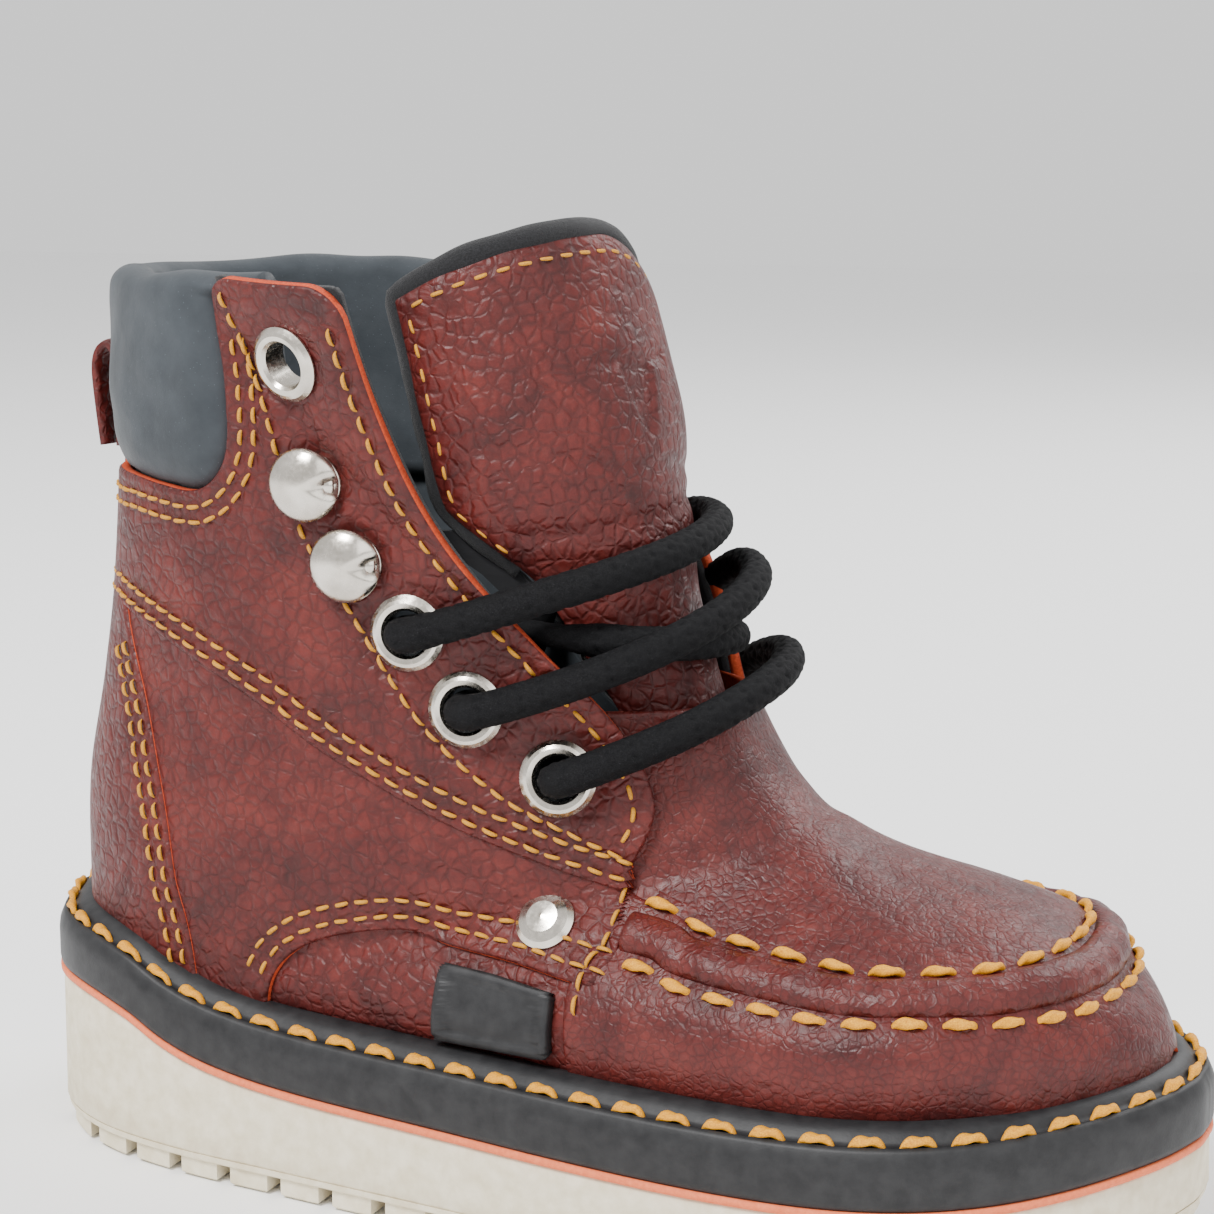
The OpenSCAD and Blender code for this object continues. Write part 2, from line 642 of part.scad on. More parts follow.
module rivet_cap() {
    pin_r = 1.6;
    pin_foot = -1.3;
    color(nickel) rotate_extrude($fn = 48) polygon([
        [0, pin_foot], [pin_r, pin_foot], [pin_r, gap], [rivet_r, gap], [rivet_r, 0.45], [rivet_r - 0.7, 1.1],
        [rivet_r - 2, 1.7], [0, 2]
    ]);
}
module rivet_burr() {
    burr_r = 2.1;
    burr_t = 0.4;
    burr_top = -1.36;
    color(nickel) translate([0, 0, burr_top - burr_t]) cylinder(r = burr_r, h = burr_t, $fn = 32);
}
module on_skin(spot, side) {
    s = place(spot, side);
    p = skin(s[0], s[1], 0);
    n = skin_normal(s[0], s[1]);
    translate(p) rotate([0, acos(n[2]), atan2(n[1], n[0])]) children();
}
// Turn about the skin's normal that points a hook's shank to the front
module hook_turn(side) rotate([0, 0, side < 0 ? 90 : -90]) children();

module lower_eyelets() for (side = [-1, 1]) for (e = EYELETS) on_skin(e, side) eyelet();
module eyelet_washers() for (side = [-1, 1]) for (e = EYELETS) on_skin(e, side) washer();
module speed_hooks() for (side = [-1, 1]) for (h = HOOKS) on_skin(h, side) hook_turn(side) speed_hook();
module rivet_caps() for (side = [-1, 1]) on_skin(RIVET, side) rivet_cap();
module rivet_burrs() for (side = [-1, 1]) on_skin(RIVET, side) rivet_burr();
module top_eyelet(side) splayed(side, flap_splay) on_skin(TOP_EYELET, side) eyelet();

// Blank rubber label on the outer side panel
module side_badge() {
    color(black_rubber) difference() {
        intersection() {
            shell(1.2, 0.04);
            cut_side(-1) polygon([[-11.2, 28], [-10.7, 37.4], [-2, 37], [7.5, 36], [7.5, 28]]);
        }
        intersection() {
            shell(1.3, 0.7);
            cut_side(-1) polygon([[-9.6, 29.4], [-9.2, 35.8], [-2, 35.5], [6, 34.6], [6, 29.4]]);
        }
    }
}

// Tongue: point at angle f (0 front), height z, set in by d
function tongue_at(f, z, d) =
    let (s = spline([for (k = TONGUE) [k[1], k[2]]], (z - 70) / 10))
    [s[0] + (s[1] - d) * cos(f), (s[1] - d) * sin(f), z];
function arc_at(z) =
    let (share = max(0, z - covered_z) / (tongue_fold_z - covered_z))
    min(tongue_arc, covered_arc + share * (tongue_arc - covered_arc));
// The tongue's top stands highest a little to the outer side
top_lean = 12;
function tongue_top(f) =
    tongue_top_z - tongue_corner_drop * pow(abs(f + top_lean) / (tongue_arc + top_lean), 2.4);
module tongue_sheet(low, high, full, d0, d1, f0, f1) {
    steps = 14;
    levels = 5;
    m = levels + 1;
    n = steps + 1;
    pts = [for (d = [d0, d1]) for (i = [0:steps])
        let (f = f0 + (f1 - f0) * i / steps, top = full ? tongue_top(f) : high)
        for (k = [0:levels])
            let (z = low + (top - low) * k / levels) tongue_at(f * arc_at(z) / tongue_arc, z, d)];
    behind = n * m;
    face = [for (i = [0:steps - 1]) for (k = [0:levels - 1])
        let (a = i * m + k, b = a + m) each [[a, a + 1, b + 1], [a, b + 1, b]]];
    back = [for (t = face) [t[2] + behind, t[1] + behind, t[0] + behind]];
    low_edge = [for (i = [0:steps - 1])
        let (a = i * m, b = a + m) each [[a, b, b + behind], [a, b + behind, a + behind]]];
    top_edge = [for (i = [0:steps - 1])
        let (a = i * m + levels, b = a + m) each [[b, a, a + behind], [b, a + behind, b + behind]]];
    near = [for (k = [0:levels - 1]) each [[k + 1, k, k + behind], [k + 1, k + behind, k + 1 + behind]]];
    far = [for (k = [0:levels - 1])
        let (a = steps * m + k) each [[a, a + 1, a + 1 + behind], [a, a + 1 + behind, a + behind]]];
    polyhedron(points = pts, faces = concat(face, back, low_edge, top_edge, near, far), convexity = 6);
}
module tongue_lower() color(leather)
    tongue_sheet(71, tongue_fold_z - 0.6, false, 0, tongue_t, -tongue_arc, tongue_arc);
module tongue_upper() color(leather)
    tongue_sheet(tongue_fold_z + 0.6, 0, true, 0, tongue_t, -tongue_arc, tongue_arc);
// Raised plain shield on the face of the tongue
module tongue_badge() color(leather_dark) tongue_sheet(111, 123, false, -0.6, -0.02, -24, 24);
module gusset(side) {
    levels = [88, 91, 94, 97];
    pts = [for (z = levels) let (p = tongue_at(side * (arc_at(z) + 3), z, 0.4), w = 5 + (z - 88) * 0.2)
        each [p, p + [-w, side * 1.5, 0], p + [-w, side * 0.5, 0], p + [0, -side, 0]]];
    n = len(levels);
    wall = [for (i = [0:n - 2]) for (j = [0:3])
        let (a = i * 4 + j, b = i * 4 + (j + 1) % 4) each [[a, a + 4, b + 4], [a, b + 4, b]]];
    ends = [[0, 1, 2, 3], [4 * n - 1, 4 * n - 2, 4 * n - 3, 4 * n - 4]];
    faces = concat(wall, ends);
    flipped = [for (f = faces) turned(f)];
    color(felt) polyhedron(points = pts, faces = side < 0 ? faces : flipped);
}

// Leather loop at the back, for pulling the boot on
loop_w = 12;
loop_x = -78.6;
module pull_loop() {
    color(leather) rotate([90, 0, 0]) translate([0, 0, -loop_w / 2]) linear_extrude(loop_w) difference() {
        polygon([
            [loop_x, 104.2], [loop_x, 116], [loop_x - 0.6, 119.4], [loop_x - 2.6, 121], [loop_x - 5.4, 119.4],
            [loop_x - 6, 116], [loop_x - 5, 104.2]
        ]);
        polygon([[loop_x - 1.6, 106.4], [loop_x - 1.6, 116], [loop_x - 2.2, 118.4], [loop_x - 3, 118.8],
            [loop_x - 4, 118], [loop_x - 4.3, 115.6], [loop_x - 3.4, 106.4]]);
    }
}
module loop_anchor() {
    anchor_foot_z = 98.5;
    anchor_h = 4.9;
    color(leather_dark) intersection() {
        shell(collar_bulge + 1.2, collar_bulge + gap);
        translate([loop_x - 8, -loop_w / 2, anchor_foot_z]) cube([12, loop_w, anchor_h]);
    }
}

// Round lace: three bars across the outside, lowest eyelets first, joined by two inside runs
lace_within = 5.5;
lace_over = 2.4;
function off_skin(e, side, d) = let (s = place(e, side)) skin(s[0], s[1], 0) + d * skin_normal(s[0], s[1]);
function inside(e, side) = off_skin(e, side, -lace_within);
function outside(e, side) = off_skin(e, side, lace_over);
BAR_1 = [
    [11, -24, 66.5], [20, -16.5, 70.5], [25.5, -6, 74], [26.5, 5, 76], [23, 15, 76.5], [16, 22.5, 74],
    [9, 25.5, 69]
];
BAR_2 = [
    [-2, -27.5, 74.5], [9, -22.5, 78.5], [17.5, -13.5, 82.5], [21.5, -2, 86], [20.5, 9, 88.5],
    [14, 18.5, 88.5], [4, 25, 82]
];
BAR_3 = [
    [-10.5, -28.5, 85], [0, -25.5, 88.5], [9, -18.5, 91.5], [15, -8, 94], [15.8, 3, 95.5], [12, 14, 96],
    [4, 22.5, 95], [-7, 28, 89]
];
// Inside run up from the lowest eyelet to the next one, under the outer facing
RUN_1 = [[-3, -18.5, 68]];
// Run across the front of the tongue, from the inner side's second eyelet to the outer side's third
RUN_2 = [
    [-2, 17, 74.5], [6, 15, 76.5], [10.5, 13, 78], [14, 12.4, 79], [17.3, 8.4, 79.8], [19.2, 2.5, 80.5],
    [18.3, -6.8, 81.3], [13.2, -14.2, 82], [8, -17.2, 82.5], [2.5, -18.8, 83], [-4, -18.6, 83.2]
];
// The braid is squeezed thinner where a facing presses it against the tongue
squeezed = 0.7;
function with_width(list, share) = [for (p = list) [p, share * lace_d / 2]];
function bar(e, points, from, to) = concat(
    with_width([inside(e, from)], squeezed),
    with_width(concat([outside(e, from)], points, [outside(e, to)]), 1),
    with_width([inside(e, to)], squeezed));
// First and last points of the crossing run that lie free of the facings
free_first = 3;
free_last = 8;
LACE_ROUTE = concat(
    bar(EYELETS[0], turned(BAR_1), 1, -1), with_width(RUN_1, squeezed), bar(EYELETS[1], BAR_2, -1, 1),
    [for (i = [0:len(RUN_2) - 1])
        let (free = i >= free_first && i <= free_last) [RUN_2[i], (free ? 1 : squeezed) * lace_d / 2]],
    bar(EYELETS[2], BAR_3, -1, 1)
);
module lace() color(felt) tube([for (w = LACE_ROUTE) w[0]], [for (w = LACE_ROUTE) w[1]], 8);
// The two ends hang down inside the shaft on the inner side and lie in loops on the footbed
LOW_END = [
    [1.5, 15.5, 57], [0.5, 15, 50], [1.5, 14.5, 42], [6, 13.5, 34.5], [14, 13, 30], [28, 14, 28.9],
    [40, 10, 28.6], [46, 1, 28.8], [41, -9, 28.6], [29, -14, 28.8], [15, -15, 29.5], [3, -12, 30],
    [-3, -3, 30.3], [1, 6, 30.1], [11, 7.5, 29.6], [23, 6.5, 29.1]
];
HIGH_END = [
    [-20, 18, 75], [-23.5, 17.5, 65], [-24, 17.5, 54], [-24, 17.5, 44], [-25.5, 17.5, 36.5], [-34, 17, 32.2],
    [-48, 16, 32.1], [-60, 10.5, 32.4], [-64, 1, 32.5], [-60, -9, 32.4], [-50, -15, 32.2], [-38, -15, 31.9],
    [-28, -10, 31.5], [-25, 0, 31.4], [-31, 7, 31.6], [-41, 6, 31.9]
];
aglet_l = 14;
module lace_end(e, points) {
    width = concat(with_width([inside(e, 1)], squeezed), with_width(points, 1));
    color(felt) tube([for (w = width) w[0]], [for (w = width) w[1]], 8);
}
module lace_end_low() lace_end(EYELETS[0], LOW_END);
module lace_end_high() lace_end(EYELETS[2], HIGH_END);
module aglet(from, to) {
    v = to - from;
    translate(to) rotate([0, acos(v[2] / norm(v)), atan2(v[1], v[0])])
        cylinder(d = lace_d - 1.2, h = aglet_l, $fn = 24);
}
module aglets() {
    color(black_rubber) {
        for (end = [LOW_END, HIGH_END]) aglet(end[len(end) - 2], end[len(end) - 1]);
    }
}

outsole();
midsole();
stripe();
rand();
rand_stitching();
shank();
insole_board();
footbed();
vamp_plug();
vamp_wall();
moc_ridge();
moc_stitching();
toe_cap();
heel_stiffener();
vamp_lining();
quarter_lining(-1);  // quarter_lining_lateral
quarter_lining(1);  // quarter_lining_medial
interlining(-1);  // interlining_lateral
interlining(1);  // interlining_medial
quarter_upper(-1);  // quarter_upper_lateral
quarter_upper(1);  // quarter_upper_medial
quarter_lower(-1);  // quarter_lower_lateral
quarter_lower(1);  // quarter_lower_medial
side_panel(-1);  // side_panel_lateral
side_panel(1);  // side_panel_medial
heel_patch();
side_badge();
collar_pad();
flap(-1);  // flap_lateral
flap(1);  // flap_medial
flap_backing(-1);  // flap_backing_lateral
flap_backing(1);  // flap_backing_medial
top_eyelet(-1);  // top_eyelet_lateral
top_eyelet(1);  // top_eyelet_medial
lower_eyelets();
eyelet_washers();
speed_hooks();
rivet_caps();
rivet_burrs();
tongue_lower();
tongue_upper();
tongue_badge();
gusset(-1);  // gusset_lateral
gusset(1);  // gusset_medial
pull_loop();
loop_anchor();
lace();
lace_end_low();
lace_end_high();
aglets();
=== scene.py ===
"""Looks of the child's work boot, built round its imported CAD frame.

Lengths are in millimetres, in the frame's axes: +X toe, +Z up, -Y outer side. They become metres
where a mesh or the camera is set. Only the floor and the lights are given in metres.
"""

import math

import bpy
import numpy as np
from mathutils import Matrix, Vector
from mathutils.bvhtree import BVHTree


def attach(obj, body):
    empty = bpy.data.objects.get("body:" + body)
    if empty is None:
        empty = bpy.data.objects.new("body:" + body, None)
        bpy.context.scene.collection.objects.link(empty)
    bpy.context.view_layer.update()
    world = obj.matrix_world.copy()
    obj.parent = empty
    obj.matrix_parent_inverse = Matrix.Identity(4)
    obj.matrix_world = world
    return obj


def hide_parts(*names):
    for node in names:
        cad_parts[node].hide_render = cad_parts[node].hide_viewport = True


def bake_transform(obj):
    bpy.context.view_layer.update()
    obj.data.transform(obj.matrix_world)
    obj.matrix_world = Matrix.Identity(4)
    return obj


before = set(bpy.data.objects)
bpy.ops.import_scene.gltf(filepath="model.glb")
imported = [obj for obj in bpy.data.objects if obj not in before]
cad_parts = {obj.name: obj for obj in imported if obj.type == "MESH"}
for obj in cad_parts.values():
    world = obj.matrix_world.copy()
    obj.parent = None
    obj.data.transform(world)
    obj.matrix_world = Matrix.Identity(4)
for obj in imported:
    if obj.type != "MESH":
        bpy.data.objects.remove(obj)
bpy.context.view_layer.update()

MM = 0.001
LATERAL, MEDIAL = -1, 1
SIDE_NAME = {LATERAL: "lateral", MEDIAL: "medial"}
rng = np.random.default_rng(7)


# ---------------------------------------------------------------- camera

CAMERA_TURN = 25.0
CAMERA_LIFT = 10.0
CAMERA_AWAY = 370.0
CAMERA_AIM = np.array([1.0, 0.0, 84.0])
CAMERA_LENS = 75.7


def make_camera():
    turn, lift = math.radians(CAMERA_TURN), math.radians(CAMERA_LIFT)
    back = np.array([math.sin(turn) * math.cos(lift), -math.cos(turn) * math.cos(lift), math.sin(lift)])
    data = bpy.data.cameras.new("camera")
    data.lens = CAMERA_LENS
    data.sensor_width = 36
    data.clip_start, data.clip_end = 0.01, 20
    cam = bpy.data.objects.new("camera", data)
    bpy.context.scene.collection.objects.link(cam)
    cam.location = Vector((CAMERA_AIM + CAMERA_AWAY * back) * MM)
    cam.rotation_euler = (-Vector(back)).to_track_quat("-Z", "Y").to_euler()
    bpy.context.scene.camera = cam


make_camera()


# ---------------------------------------------------------------- foot form

# The girth lines and outlines below repeat the CAD source's own. Girths: rear (x, z), front (x, z),
# half width, roundness of the rear and front halves, place of the widest point, crown of the top
GIRTHS = np.array([
    [-75.4, 133.0, 2.0, 134.0, 31.0, 0.90, 0.78, 0.45, 0],
    [-76.0, 118.0, 5.5, 116.0, 30.5, 0.90, 0.76, 0.45, 0],
    [-76.6, 103.0, 9.5, 99.0, 29.5, 0.90, 0.74, 0.45, 0],
    [-78.0, 86.0, 14.0, 87.5, 28.8, 0.90, 0.72, 0.42, 0],
    [-80.8, 70.0, 19.5, 78.0, 28.6, 0.88, 0.72, 0.40, 0],
    [-83.0, 55.0, 24.0, 69.5, 29.0, 0.80, 0.74, 0.36, 0.002],
    [-82.6, 41.0, 28.0, 63.0, 29.2, 0.70, 0.74, 0.34, 0.004],
    [-81.0, 30.0, 31.0, 59.6, 29.0, 0.60, 0.74, 0.32, 0.006],
    [-77.0, 23.0, 34.0, 57.0, 28.8, 0.50, 0.74, 0.30, 0.008],
    [-66.0, 22.5, 37.0, 55.6, 29.5, 0.30, 0.72, 0.30, 0.009],
    [-42.0, 22.0, 40.0, 53.9, 31.0, 0.25, 0.66, 0.32, 0.010],
    [-15.0, 21.0, 43.5, 52.3, 32.5, 0.25, 0.58, 0.35, 0.010],
    [15.0, 19.5, 48.0, 50.8, 34.0, 0.25, 0.50, 0.40, 0.010],
    [38.0, 18.5, 53.5, 49.5, 34.6, 0.25, 0.44, 0.45, 0.010],
    [53.0, 19.0, 59.0, 48.3, 33.0, 0.25, 0.42, 0.48, 0.010],
    [63.0, 19.8, 65.0, 46.9, 29.6, 0.25, 0.42, 0.48, 0.010],
    [71.0, 20.6, 71.0, 44.4, 25.0, 0.25, 0.44, 0.48, 0.009],
    [77.0, 21.2, 76.6, 39.6, 19.0, 0.26, 0.50, 0.48, 0.007],
    [81.4, 22.0, 80.8, 35.6, 12.6, 0.30, 0.60, 0.48, 0.004],
    [84.0, 22.8, 83.6, 32.0, 7.4, 0.40, 0.80, 0.48, 0],
    [85.2, 24.5, 85.2, 29.0, 2.4, 0.80, 0.90, 0.50, 0],
])
SOLE_EDGE = np.array([
    [-90.4, 0], [-90.2, 4.5], [-88, 12], [-81, 23], [-70, 30], [-55, 33.5], [-35, 35], [-10, 36.5],
    [15, 38.2], [38, 38.8], [55, 37.2], [68, 32.5], [78, 24.5], [86, 13.5], [89.5, 5], [90, 0],
], float)
BAND_TOP = np.array([[-95, 36], [-75, 36], [-64, 34.2], [-56, 31], [-47, 28.6], [-34, 27], [-10, 26],
                     [30, 25], [60, 25.6], [95, 29]], float)
GROUND = np.array([[-100, 0], [30, 0], [45, 0.5], [60, 1.5], [75, 3.1], [100, 6.5]], float)
COLLAR_EDGE = np.array([[-95, 102.5], [-68, 102.5], [-58, 101.9], [-50.5, 101.6], [-46, 104],
                        [-43.5, 109],
                        [-43.3, 118], [-44.3, 126], [-45, 140]], float)
FRONT_EDGE = {
    LATERAL: np.array([[14.4, 52.2], [16.2, 56.3], [16.7, 60.4], [14.5, 66], [9.2, 73.4], [1.8, 80.7],
                       [-7, 90.7], [-13.5, 101.8], [-18, 115.5], [-20.6, 127.6], [-21.5, 135.5]], float),
    MEDIAL: np.array([[14.4, 52.2], [17.6, 56.3], [18.4, 60.4], [17, 66], [14, 73.4], [10.5, 80.7],
                      [4, 90.7], [-6, 101.8], [-14, 115.5], [-19, 127.6], [-21.5, 135.5]], float),
}
MID_SEAM = np.array([[-95, 84], [-70, 82.5], [-47, 75], [-29, 65], [-12, 57], [2, 52], [12, 49]], float)
PATCH_EDGE = np.array([[-74, 81], [-72, 75.6], [-67, 65.6], [-63.5, 54.3], [-61.3, 42.5], [-58.7, 32.4],
                       [-57, 10]], float)
ARCH = np.array([[-41, 10], [-39, 30.4], [-36, 34.9], [-29.5, 38.3], [-18.4, 40.6], [-10.2, 39.6],
                 [-0.3, 38.9], [8, 37.9], [12.6, 37.5]], float)
VAMP_BACK = np.array([[16, 49.8], [15.6, 45.4], [15, 41.4], [13.2, 38], [14, 10]], float)
PLUG_EDGE = np.array([[-30, 21], [16, 21.8], [26, 23.7], [36, 24.8], [48, 25.2], [56, 23.2], [64, 19.2],
                      [69, 13.4], [71.4, 6.5], [72, 0]], float)
TONGUE = np.array([[70, 7.5, 12.5], [80, 1.5, 15], [90, -4.5, 18.2], [100, -10.8, 21.8], [110, -13, 23],
                   [120, -15.5, 23], [130, -18.3, 22.6], [140, -21, 22.4]], float)
FOLD_A = np.array([-48.5, -31.4, 129.7])
FOLD_B = np.array([-11, -26.2, 87.7])
FLAP_SPLAY = 22.0
EYELETS = [(5.25, 0.71), (4.25, 0.64), (3.3, 0.6)]
TOP_EYELET = (0.75, 0.53)
HOOKS = [(1.8, 0.53), (2.55, 0.56)]
RIVET = (8.6, 0.63)
RAND_H, STRIPE_H, TREAD_H, BAR_PITCH = 10.5, 1.2, 4.0, 9.0


def spline(points, t):
    """Points of the smooth line through the rows of points, at the places t counted in rows."""
    k = np.asarray(points, float)
    n = len(k) - 1
    t = np.clip(np.asarray(t, float), 0, n - 1e-6)
    i = np.floor(t).astype(int)
    u = (t - i)[..., None]
    ext = np.vstack([2 * k[0] - k[1], k, 2 * k[-1] - k[-2]])
    a, b, c, d = ext[i], ext[i + 1], ext[i + 2], ext[i + 3]
    return 0.5 * (2 * b + (c - a) * u + (2 * a - 5 * b + 4 * c - d) * u**2 + (3 * b - a - 3 * c + d) * u**3)


def smooth_line(points, per_span=8):
    n = len(points) - 1
    return spline(points, np.linspace(0, n, n * per_span + 1))


def run_along(line):
    """Length of the line up to each of its points."""
    return np.concatenate([[0], np.cumsum(np.linalg.norm(np.diff(line, axis=0), axis=1))])


def directions(line):
    """Unit direction of the line at each of its points."""
    way = np.gradient(line, axis=0)
    return way / np.linalg.norm(way, axis=1, keepdims=True)


def evenly(line, step):
    """Points about step apart along a line."""
    line = np.asarray(line, float)
    run = run_along(line)
    count = max(2, int(round(run[-1] / step)) + 1)
    s = np.linspace(0, run[-1], count)
    return np.stack([np.interp(s, run, line[:, k]) for k in range(line.shape[1])], 1)


def swing(x):
    return np.where(x > 20, 0.0006 * (x - 20) ** 2, 0.0)


def smoothstep(x):
    x = np.clip(x, 0, 1)
    return x * x * (3 - 2 * x)


def half_ring(t, count):
    """Points on the outer-side half of girth line t, evenly spaced from rear to front."""
    s = spline(GIRTHS, np.array([t]))[0]
    rear, front, wide = s[:2], s[2:4], s[4]
    fine = 160
    u = np.linspace(0, 1, fine)
    behind = np.unique(np.concatenate([u, np.sqrt(1 - u ** (2 / s[5]))]))
    ahead = np.unique(np.concatenate([u, np.sqrt(1 - u ** (2 / s[6]))]))
    a = np.concatenate([(s[7] * (1 - behind))[::-1], s[7] + (1 - s[7]) * ahead[1:]])
    b = np.concatenate([((1 - behind**2) ** (s[5] / 2))[::-1], ((1 - ahead[1:] ** 2) ** (s[6] / 2))])
    x = rear[0] + (front[0] - rear[0]) * a
    y = -wide * b
    z = rear[1] + (front[1] - rear[1]) * a - s[8] * y * y * a**3
    line = np.stack([x, y, z], 1)
    run = run_along(line)
    at = np.linspace(0, run[-1], count)
    return np.stack([np.interp(at, run, line[:, k]) for k in range(3)], 1)


RING_STEP = 0.08
HALF_COUNT = 150


def make_skin():
    rows = []
    for t in np.arange(0, 20 + RING_STEP / 2, RING_STEP):
        half = half_ring(t, HALF_COUNT)
        other = half[-2:0:-1] * [1, -1, 1]
        rows.append(np.vstack([half, other]))
    p = np.array(rows)
    p[:, :, 1] += swing(p[:, :, 0])
    down = np.gradient(p, axis=0)
    round_ = (np.roll(p, -1, 1) - np.roll(p, 1, 1)) / 2
    n = np.cross(down, round_)
    n /= np.linalg.norm(n, axis=2, keepdims=True) + 1e-12
    return p, n


SKIN_P, SKIN_N = make_skin()
ROWS, COLS = SKIN_P.shape[:2]
SKIN_POINTS = SKIN_P.reshape(-1, 3)
SKIN_NORMALS = SKIN_N.reshape(-1, 3)


def grid_faces(rows, cols, closed):
    i, j = np.meshgrid(np.arange(rows - 1), np.arange(cols if closed else cols - 1), indexing="ij")
    a = (i * cols + j).ravel()
    b = (i * cols + (j + 1) % cols).ravel()
    c, d = a + cols, b + cols
    return np.concatenate([np.stack([a, c, d], 1), np.stack([a, d, b], 1)])


SKIN_FACES = grid_faces(ROWS, COLS, True)
SKIN_TREE = BVHTree.FromPolygons(SKIN_POINTS.tolist(), SKIN_FACES.tolist())


def skin_normal_at(p, face):
    near = SKIN_FACES[face]
    away = np.linalg.norm(SKIN_POINTS[near] - p, axis=1) + 1e-6
    n = (SKIN_NORMALS[near] / away[:, None]).sum(0)
    return n / np.linalg.norm(n)


def drop(start, way):
    """Where a ray meets the foot form, and the form's normal there."""
    hit, _, face, _ = SKIN_TREE.ray_cast(Vector(start), Vector(way))
    if hit is None:
        hit, _, face, _ = SKIN_TREE.find_nearest(Vector(start) + Vector(way) * 60)
    hit = np.array(hit)
    return hit, skin_normal_at(hit, face)


def on_side(points, side):
    """Points (x, z) of a side view laid on the outer or inner side of the foot form."""
    found = [drop((x, side * 90.0, z), (0, -side, 0)) for x, z in points]
    return np.array([f[0] for f in found]), np.array([f[1] for f in found])


def on_top(points, side):
    """Points (x, half width) of a top view laid on the top of the foot form."""
    found = [drop((x, side * y + float(swing(np.array(x))), 120.0), (0, 0, -1)) for x, y in points]
    return np.array([f[0] for f in found]), np.array([f[1] for f in found])


# ---------------------------------------------------------------- splay of the facing tops

FOLD_WAY = (FOLD_B - FOLD_A) / np.linalg.norm(FOLD_B - FOLD_A)
FOLD_ACROSS = np.array([-FOLD_WAY[2], 0, FOLD_WAY[0]])
FOLD_ACROSS /= np.linalg.norm(FOLD_ACROSS)
if FOLD_ACROSS[0] < 0:
    FOLD_ACROSS = -FOLD_ACROSS
FOLD_BAND = 5.0
SPLAY_FOOT, SPLAY_FULL = 64.0, 96.0


def splay(p, side):
    """Turns what lies in front of a facing top's fold line outward, as the flap stands at rest."""
    p = np.asarray(p, float) * [1, -side, 1]
    far = (p - FOLD_A) @ FOLD_ACROSS
    share = smoothstep(far / FOLD_BAND) * smoothstep((p[:, 2] - SPLAY_FOOT) / (SPLAY_FULL - SPLAY_FOOT))
    turn = np.radians(FLAP_SPLAY) * share
    v = p - FOLD_A
    c, s = np.cos(turn)[:, None], np.sin(turn)[:, None]
    turned = v * c + np.cross(FOLD_WAY, v) * s + FOLD_WAY * (v @ FOLD_WAY)[:, None] * (1 - c)
    return (turned + FOLD_A) * [1, -side, 1]


def bend_at_fold(obj):
    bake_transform(obj)


# ---------------------------------------------------------------- materials

MATERIALS = {}


def new_material(name, rough, metallic=0.0, sheen=0.0, shine=0.5):
    mat = bpy.data.materials.new(name)
    mat.use_nodes = True
    tree = mat.node_tree
    shader = tree.nodes["Principled BSDF"]
    shader.inputs["Roughness"].default_value = rough
    shader.inputs["Metallic"].default_value = metallic
    shader.inputs["Sheen Weight"].default_value = sheen
    shader.inputs["Specular IOR Level"].default_value = shine
    MATERIALS[name] = mat
    return tree, shader


def place(tree):
    """Texture coordinates in millimetres that stay with a piece as it bends."""
    node = tree.nodes.new("ShaderNodeAttribute")
    node.attribute_name = "place"
    return node.outputs["Vector"]


def object_place(tree):
    coords = tree.nodes.new("ShaderNodeTexCoord")
    scale = tree.nodes.new("ShaderNodeVectorMath")
    scale.operation = "SCALE"
    scale.inputs["Scale"].default_value = 1 / MM
    tree.links.new(coords.outputs["Object"], scale.inputs[0])
    return scale.outputs[0]


def noise(tree, where, scale, detail=3.0, rough=0.55, distortion=0.0):
    node = tree.nodes.new("ShaderNodeTexNoise")
    node.inputs["Scale"].default_value = scale
    node.inputs["Detail"].default_value = detail
    node.inputs["Roughness"].default_value = rough
    node.inputs["Distortion"].default_value = distortion
    tree.links.new(where, node.inputs["Vector"])
    return node.outputs["Fac"]


def coloured_noise(tree, where, scale):
    node = tree.nodes.new("ShaderNodeTexNoise")
    node.inputs["Scale"].default_value = scale
    node.inputs["Detail"].default_value = 2.0
    tree.links.new(where, node.inputs["Vector"])
    return node.outputs["Color"]


def voronoi(tree, where, scale, feature="DISTANCE_TO_EDGE"):
    node = tree.nodes.new("ShaderNodeTexVoronoi")
    node.feature = feature
    node.inputs["Scale"].default_value = scale
    tree.links.new(where, node.inputs["Vector"])
    return node.outputs["Distance"]


def ramp(tree, value, stops):
    node = tree.nodes.new("ShaderNodeValToRGB")
    while len(node.color_ramp.elements) < len(stops):
        node.color_ramp.elements.new(0.5)
    for element, (at, colour) in zip(node.color_ramp.elements, stops):
        element.position = at
        element.color = (*colour, 1) if len(colour) == 3 else colour
    tree.links.new(value, node.inputs["Fac"])
    return node.outputs["Color"]


def grey(v):
    return (v, v, v)


def mix(tree, kind, share, a, b):
    node = tree.nodes.new("ShaderNodeMix")
    node.data_type = "RGBA"
    node.blend_type = kind
    node.inputs["Factor"].default_value = share
    for socket, value in (("A", a), ("B", b)):
        target = [s for s in node.inputs if s.name == socket and s.type == "RGBA"][0]
        if isinstance(value, tuple):
            target.default_value = (*value, 1)
        else:
            tree.links.new(value, target)
    return [s for s in node.outputs if s.type == "RGBA"][0]


